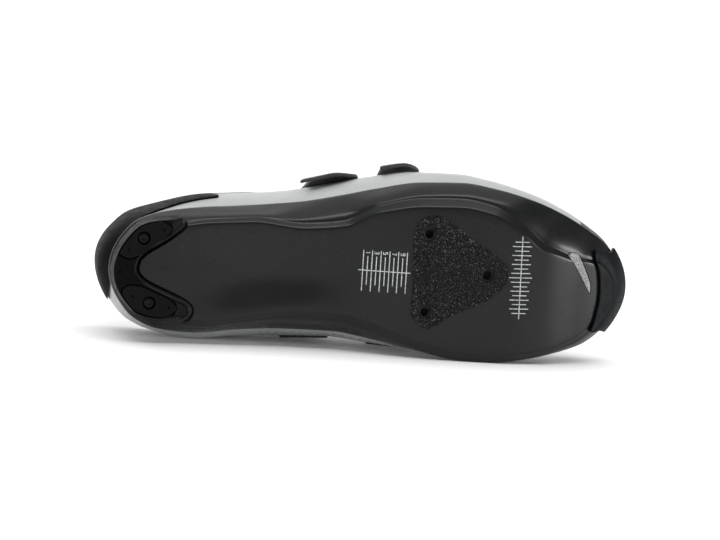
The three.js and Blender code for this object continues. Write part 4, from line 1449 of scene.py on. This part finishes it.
def opening_cutters(grow=0.0):
    """The ankle opening and the throat as solids, the throat made wider by grow."""
    line = smooth_line(in_side_view(COLLAR_LINE), False)
    above = INSTEP_HEIGHT * 2
    side = np.array([*line, (line[-1][0], above), (line[0][0], above)])
    ankle = prism("ankle", side, -BALL_WIDTH, BALL_WIDTH, turned=True)
    half = smooth_line(np.column_stack([
        np.array(THROAT_LINE["at"]) * SHOE_LENGTH,
        np.array(THROAT_LINE["half"]) * THROAT_WIDTH + grow,
    ]), False)
    mirrored = half[:-1][::-1] * (1, -1)
    return [ankle, prism("throat", np.concatenate([half, mirrored]), 40, above)]


def upper_layer(name, inset, thickness):
    layer = upper_form(name, inset)
    return combine(layer, upper_form("inside", inset + thickness, 20))


# The seam between the quarters and the toe panel, in side view: millimetres along and up
TOE_SEAM = ((249, 0), (246, 30), (236, 42), (218, 52), (196, 62), (176, 80), (170, 200))
SHELL_WALL = 1.2
PANEL_STEP = 0.2


def make_uppers():
    seam = smooth_line(np.array(TOE_SEAM, float), False)
    ahead = np.array([*seam, (FAR, 200), (FAR, 0)])
    behind = np.array([*seam, (-FAR, 200), (-FAR, 0)])
    quarters = upper_layer("upper_quarters", -PANEL_STEP, SHELL_WALL + PANEL_STEP)
    combine(quarters, prism("behind", behind, -BALL_WIDTH, BALL_WIDTH, turned=True), "INTERSECT")
    for cutter in opening_cutters():
        combine(quarters, cutter)
    shade(largest(quarters), 35)
    dress(quarters, upper_synthetic, ["upper"])
    toe = upper_layer("upper_toe_panel", 0, SHELL_WALL)
    combine(toe, prism("ahead", ahead + (0.15, 0), -BALL_WIDTH, BALL_WIDTH, turned=True), "INTERSECT")
    shade(largest(toe), 35)
    dress(toe, upper_mesh, ["upper"])
    lining = upper_layer("upper_lining", SHELL_WALL + 0.05, UPPER_WALL - SHELL_WALL)
    for cutter in opening_cutters():
        combine(lining, cutter)
    shade(largest(lining), 35)
    dress(lining, lining_cloth, ["upper"])
    return quarters, toe, lining


collar_side = smooth_line(in_side_view(COLLAR_LINE), False)
throat_plan = smooth_line(np.column_stack([
    np.array(THROAT_LINE["at"]) * SHOE_LENGTH,
    np.array(THROAT_LINE["half"]) * THROAT_WIDTH,
]), False)


def is_open(points):
    """Above 0 inside the ankle opening or the throat, below 0 on the upper."""
    collar = np.interp(points[..., 0], collar_side[:, 0], collar_side[:, 1], right=FAR)
    throat = np.interp(points[..., 0], throat_plan[:, 0], throat_plan[:, 1], left=-1, right=-1)
    return np.maximum(points[..., 2] - collar, throat - np.abs(points[..., 1]))


def wall_walk(side, shares, inset, drops):
    """Points on the upper's form at distances below the edge of the opening, for each share."""
    sections = upper_section(side, shares, inset)
    found = []
    for section in sections:
        spans = np.linalg.norm(np.diff(section, axis=0), axis=1)
        length = np.concatenate([[0], np.cumsum(spans)])
        fine = np.linspace(0, length[-1], 600)
        line = np.column_stack([np.interp(fine, length, section[:, k]) for k in range(3)])
        above = np.nonzero(is_open(line) > 0)[0]
        edge = fine[above[0]] if len(above) else length[-1]
        at = np.clip(edge - np.asarray(drops, float), 0, length[-1])
        found.append(np.column_stack([np.interp(at, length, section[:, k]) for k in range(3)]))
    return np.array(found)


OPENING_SHARES = share_of(np.linspace(0, 1, 241))
OPENING_SHARES = OPENING_SHARES[OPENING_SHARES < 0.64]


def opening_loop(inset, drop):
    """The edge of the opening as one closed loop, drop below the real edge."""
    up = wall_walk(LATERAL, OPENING_SHARES, inset, [drop])[:, 0]
    back = wall_walk(MEDIAL, OPENING_SHARES[1:][::-1], inset, [drop])[:, 0]
    return np.concatenate([up, back])


def tube(name, path, radius, sides=10, is_closed=True):
    """A round cord along a path in the shoe's frame."""
    path = np.asarray(path, float)
    if is_closed:
        ahead = np.roll(path, -1, axis=0) - np.roll(path, 1, axis=0)
    else:
        ahead = np.gradient(path, axis=0)
    ahead /= np.linalg.norm(ahead, axis=1, keepdims=True)
    side = np.cross(ahead[0], (0.3, 0.2, 1))
    rings = []
    for point, forward in zip(path, ahead):
        side = side - forward * side.dot(forward)
        side /= np.linalg.norm(side)
        up = np.cross(forward, side)
        angles = np.arange(sides) / sides * 2 * math.pi
        rings.append(point + radius * (np.outer(np.cos(angles), side) + np.outer(np.sin(angles), up)))
    index = np.arange(len(path) * sides).reshape(len(path), sides)
    around = np.concatenate([index, index[:, :1]], axis=1)
    points = np.concatenate(rings)
    if is_closed:
        faces = grid_faces(np.concatenate([around, around[:1]])).tolist()
    else:
        faces = [*grid_faces(around).tolist(), tuple(index[0]), tuple(index[-1])]
    piece = piece_from(name, points, faces)
    piece.data.shade_smooth()
    return piece


def even_path(path, spacing, is_closed=True):
    """The same path with its points evenly spaced."""
    path = np.asarray(path, float)
    if is_closed:
        path = np.concatenate([path, path[:1]])
    spans = np.linalg.norm(np.diff(path, axis=0), axis=1)
    keep = np.concatenate([[True], spans > 1e-6])
    path = path[keep]
    spans = np.linalg.norm(np.diff(path, axis=0), axis=1)
    length = np.concatenate([[0], np.cumsum(spans)])
    count = max(int(length[-1] / spacing), 3)
    at = np.linspace(0, length[-1], count, endpoint=not is_closed)
    return np.column_stack([np.interp(at, length, path[:, k]) for k in range(3)])


def relaxed(path, rounds=6):
    """A closed path with its small corners taken out."""
    for _ in range(rounds):
        path = (np.roll(path, 1, axis=0) + 2 * path + np.roll(path, -1, axis=0)) / 4
    return path


def make_binding():
    """The rolled edge around the ankle opening and the throat."""
    path = relaxed(even_path(opening_loop(UPPER_WALL / 2, 0.2), 1.2), 4)
    binding = tube("collar_binding", path, 1.5, 12)
    return dress(binding, strap_cloth, ["upper"])


def make_collar_pad():
    """The soft padding inside the ankle opening."""
    shares = share_of(np.linspace(0, 1, 201))
    shares = shares[shares < 0.27]
    drops = np.linspace(0.6, 24, 15)
    bulge = 3.6 * np.sin(np.linspace(0.12, 1, 15) * math.pi) ** 0.8
    rows = []
    for side in (LATERAL, MEDIAL):
        order = shares[::-1] if side == LATERAL else shares[1:]
        outer = wall_walk(side, order, UPPER_WALL + 0.1, drops)
        fade = eased(np.clip((0.27 - order) / 0.05, 0, 1))
        inner = np.empty_like(outer)
        for k, thick in enumerate(bulge):
            inset = UPPER_WALL + 0.3 + thick * 0.999
            inner[:, k] = wall_walk(side, order, inset, [drops[k]])[:, 0]
        inner = mix(outer + 0.0, inner, np.maximum(fade, 0.08)[:, None, None])
        rows.append((outer, inner))
    outer = np.concatenate([rows[0][0], rows[1][0]])
    inner = np.concatenate([rows[0][1], rows[1][1]])
    pad = sheet_solid("collar_pad", outer, inner)
    shade(pad, 60)
    dress(pad, tongue_cloth, ["upper"])
    return pad


def make_counter():
    """The counter as a stiff shell around the heel, between a lower and an upper line."""
    counter = upper_layer("counter_shell", -CLEARANCE - COUNTER_THICKNESS, COUNTER_THICKNESS)
    kept = None
    for rows, side in ((MEDIAL_COUNTER_LINE, MEDIAL), (LATERAL_COUNTER_LINE, LATERAL)):
        line = smooth_line(in_side_view(rows), False)
        region = [*line, (-FAR, line[-1][1]), (-FAR, line[0][1])]
        half = prism("kept", region, *sorted((0, side * FAR)), turned=True)
        kept = combine(kept, half, "UNION") if kept else half
    combine(counter, kept, "INTERSECT")
    largest(counter)
    shade(bevelled(counter, 0.3), 40)
    return dress(counter, counter_finish, ["heel_counter"])


def form_tree(inset):
    def section(side, shares):
        wall = upper_section(side, shares, inset)
        start = wall[:, 0].copy()
        start[:, :2] = spine_point(shares)
        return np.concatenate([start[:, None], wall], axis=1)

    return tree_of(*fan(section, 110))


STRAP_AXIS_HEIGHT = 38
STRAP_REACH = 42


def make_strap(name):
    """A strap over the throat from the medial to the lateral side, with its free end standing off."""
    strap = STRAPS[name]
    tree = form_tree(-CLEARANCE - PANEL_STEP)
    medial_end, lateral_end = strap["ends"]
    steps = np.linspace(0, 1, 100)
    columns = np.linspace(0, 1, 17)
    outer = np.zeros((len(steps), len(columns), 3))
    inner = np.zeros_like(outer)
    medial_angle = math.acos((medial_end - STRAP_AXIS_HEIGHT) / STRAP_REACH)
    for k, column in enumerate(columns):
        low = lateral_end + float(np.interp(column, STRAP_TIP["along"], STRAP_TIP["rise"]))
        lateral_angle = -math.acos((low - STRAP_AXIS_HEIGHT) / STRAP_REACH)
        for i, step in enumerate(steps):
            angle = mix(lateral_angle, medial_angle, step)
            ray = Vector((0, math.sin(angle), math.cos(angle)))
            across = (math.sin(angle) + 1) / 2
            rear = mix(strap["lateral"][0], strap["medial"][0], across) * SHOE_LENGTH
            front = mix(strap["lateral"][1], strap["medial"][1], across) * SHOE_LENGTH
            up = STRAP_REACH * math.cos(angle) + STRAP_AXIS_HEIGHT
            is_lateral = angle < 0
            if is_lateral:
                rear += strap["lean"] * min(max((up - lateral_end) / TIP_LEAN_RISE, 0), 1)
            x = mix(rear, front, column)
            hit, normal = tree.ray_cast(Vector((x, 0, STRAP_AXIS_HEIGHT)), ray)[:2]
            if normal.dot(ray) < 0:
                normal = -normal
            lying = eased(max(column - TIP_FLAT_FROM, 0) / (1 - TIP_FLAT_FROM))
            leave = strap["flare"] * eased(min(max(1 - (up - 36) / 30, 0), 1)) * is_lateral
            leave *= 1 - lying
            inner[i, k] = hit + normal * leave
            outer[i, k] = hit + normal * (leave + STRAP_THICKNESS)
    piece = sheet_solid(name + "_band", outer, inner)
    shade(bevelled(piece, 0.45, 3, 50), 45)
    return dress(piece, strap_cloth, [name])


def make_tongue():
    """The padded tongue under the throat, crowned and pulled in at its edges."""
    tree = form_tree(UPPER_WALL + CLEARANCE)
    rear, front = 0.315 * SHOE_LENGTH, 0.7 * SHOE_LENGTH
    rows = np.linspace(0, 1, 90)
    columns = np.linspace(-1, 1, 31)
    outer = np.zeros((len(rows), len(columns), 3))
    inner = np.zeros_like(outer)
    for i, u in enumerate(rows):
        half = mix(0.95, 0.62, u) * THROAT_WIDTH
        corner = min(u * 60, (1 - u) * 60, 8)
        half -= 8 - math.sqrt(max(64 - (8 - corner) ** 2, 0))
        x = mix(rear, front, u)
        for k, v in enumerate(columns):
            y = v * half
            hit = tree.ray_cast(Vector((x, y, 200)), Vector((0, 0, -1)))[0]
            roll = (1 - abs(v) ** 6) * (1 - abs(2 * u - 1) ** 14)
            channel = 0.35 * (0.5 + 0.5 * math.cos(u * 2 * math.pi * 9)) ** 6
            thick = TONGUE_THICKNESS * (0.25 + 0.75 * math.sqrt(max(roll, 0)))
            outer[i, k] = (x, y, hit.z - (1 - roll) * 0.6 - channel * roll)
            inner[i, k] = (x, y, hit.z - (1 - roll) * 0.6 - thick)
    tongue = sheet_solid("tongue_pad", outer, inner)
    shade(tongue, 60)
    dress(tongue, tongue_cloth, ["tongue"])
    return tongue


# Perforations, as small solids on the upper's surface


def surface_frame(side, share, drop_share):
    """A point and the outward normal on the upper, from a share of its section's length."""
    around = upper_section(side, np.array([share - 0.002, share, share + 0.002]), -PANEL_STEP)
    at = drop_share * (around.shape[1] - 1)
    i = int(at)
    point = mix(around[1, i], around[1, i + 1], at - i)
    ahead = around[2, i] - around[0, i]
    up = around[1, i + 1] - around[1, i]
    normal = np.cross(ahead, up) * -side
    return point, normal / np.linalg.norm(normal)


def disc(point, normal, radius, sides=10):
    """Points and faces of a small dished disc that lies on a surface."""
    across = np.cross(normal, (0.2, 0.1, 1))
    across /= np.linalg.norm(across)
    up = np.cross(normal, across)
    angles = np.arange(sides) / sides * 2 * math.pi
    ring = point + radius * (np.outer(np.cos(angles), across) + np.outer(np.sin(angles), up))
    points = np.concatenate([ring + normal * 0.05, [point + normal * 0.02], ring - normal * 0.1])
    top = [(i, (i + 1) % sides, sides) for i in range(sides)]
    wall = [(i, i + sides + 1, (i + 1) % sides + sides + 1, (i + 1) % sides) for i in range(sides)]
    return points, [*top, *wall, tuple(range(sides + 1, 2 * sides + 1))]


def scattered(name, solids):
    """One mesh from many small solids."""
    points, faces, start = [], [], 0
    for some_points, some_faces in solids:
        points.append(some_points)
        faces += [tuple(i + start for i in face) for face in some_faces]
        start += len(some_points)
    return piece_from(name, np.concatenate(points), faces)


def make_perforations():
    solids = []
    for row in range(3):
        for share in np.arange(0.3 + 0.008 * (row % 2), 0.56, 0.016):
            point, normal = surface_frame(MEDIAL, share, 0.075 + 0.055 * row)
            solids.append(disc(point, normal, 0.6))
    holes = scattered("perforations", solids)
    return dress(holes, lining_cloth)


# The studio


def make_floor():
    """A pale floor that curves up into a wall behind the shoe."""
    width = 4.0
    near, far = -2.6, 1.6
    bend = 0.9
    profile = [(near, 0.0), (far - bend, 0.0)]
    for angle in np.linspace(0, math.pi / 2, 24)[1:]:
        profile.append((far - bend + bend * math.sin(angle), bend * (1 - math.cos(angle))))
    profile.append((far, 3.2))
    points = [(x, y, z) for y, z in profile for x in (-width, width)]
    faces = [(2 * i, 2 * i + 1, 2 * i + 3, 2 * i + 2) for i in range(len(profile) - 1)]
    mesh = bpy.data.meshes.new("floor")
    mesh.from_pydata(points, [], faces)
    mesh.shade_smooth()
    floor = bpy.data.objects.new("floor", mesh)
    floor.data.materials.append(floor_finish())
    bpy.context.scene.collection.objects.link(floor)
    floor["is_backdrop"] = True
    return floor


def area_light(name, place_at, look_at, size, power, colour=(1, 1, 1)):
    data = bpy.data.lights.new(name, "AREA")
    data.shape = "RECTANGLE"
    data.size, data.size_y = size
    data.energy = power
    data.color = colour
    light = bpy.data.objects.new(name, data)
    light.location = place_at
    ray = Vector(look_at) - Vector(place_at)
    light.rotation_euler = ray.to_track_quat("-Z", "Y").to_euler()
    bpy.context.scene.collection.objects.link(light)
    return light


def make_lights():
    world = bpy.data.worlds.new("studio")
    world.use_nodes = True
    world.node_tree.nodes["Background"].inputs["Color"].default_value = (1, 1, 1, 1)
    world.node_tree.nodes["Background"].inputs["Strength"].default_value = 0.3
    bpy.context.scene.world = world
    bpy.context.scene.view_settings.view_transform = "Standard"
    area_light("overhead", (0, 0.2, 1.5), (0, 0.1, 0), (2.6, 2.0), 20)
    area_light("strip", (0.05, -0.75, 1.0), (0, 0, 0.05), (1.4, 0.2), 7)
    area_light("fill_left", (-1.4, -0.9, 0.16), (0, 0, 0.05), (0.8, 0.3), 15)
    area_light("fill_right", (1.5, -0.75, 0.16), (0, 0, 0.05), (0.8, 0.3), 15)
    area_light("behind", (0, 0.4, 1.7), (0, 1.5, 0.4), (2.8, 0.9), 10)


def make_camera():
    towards = Vector((-math.tan(math.radians(CAMERA_FORWARD)), -math.tan(math.radians(CAMERA_MEDIAL)), -1))
    towards.normalize()
    right = Vector((1, 0, 0)) - towards * towards.x
    right.normalize()
    up = towards.cross(right)
    roll = math.radians(CAMERA_ROLL)
    right, up = (
        right * math.cos(roll) + up * math.sin(roll),
        up * math.cos(roll) - right * math.sin(roll),
    )
    axes = Matrix((TURNED @ right, TURNED @ up, TURNED @ towards)).transposed()
    data = bpy.data.cameras.new("camera")
    data.lens = CAMERA_LENS
    data.sensor_width = 36
    data.sensor_fit = "HORIZONTAL"
    data.clip_start = 0.05
    data.clip_end = 20
    camera = bpy.data.objects.new("camera", data)
    place_at = TURNED @ (Vector(CAMERA_PLACE) * 0.001) + ORIGIN
    camera.matrix_world = Matrix.Translation(place_at) @ axes.to_4x4()
    bpy.context.scene.collection.objects.link(camera)
    bpy.context.scene.camera = camera


make_camera()
make_lights()
make_floor()
make_sole()
make_heel_block()
for side_name in TREADS:
    make_tread(side_name)
    make_screw(side_name)
for bolt_name in BOLTS:
    make_insert(bolt_name)
make_bumper()
make_pad()
make_vent()
make_insole()
make_rear_scale()
make_front_scale()
make_uppers()
make_binding()
make_collar_pad()
make_counter()
for strap_name in STRAPS:
    make_strap(strap_name)
make_tongue()
make_perforations()

boxes = {"cad": cad_box, "visual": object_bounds()}
{name: [list(corner) for corner in box] for name, box in boxes.items()}
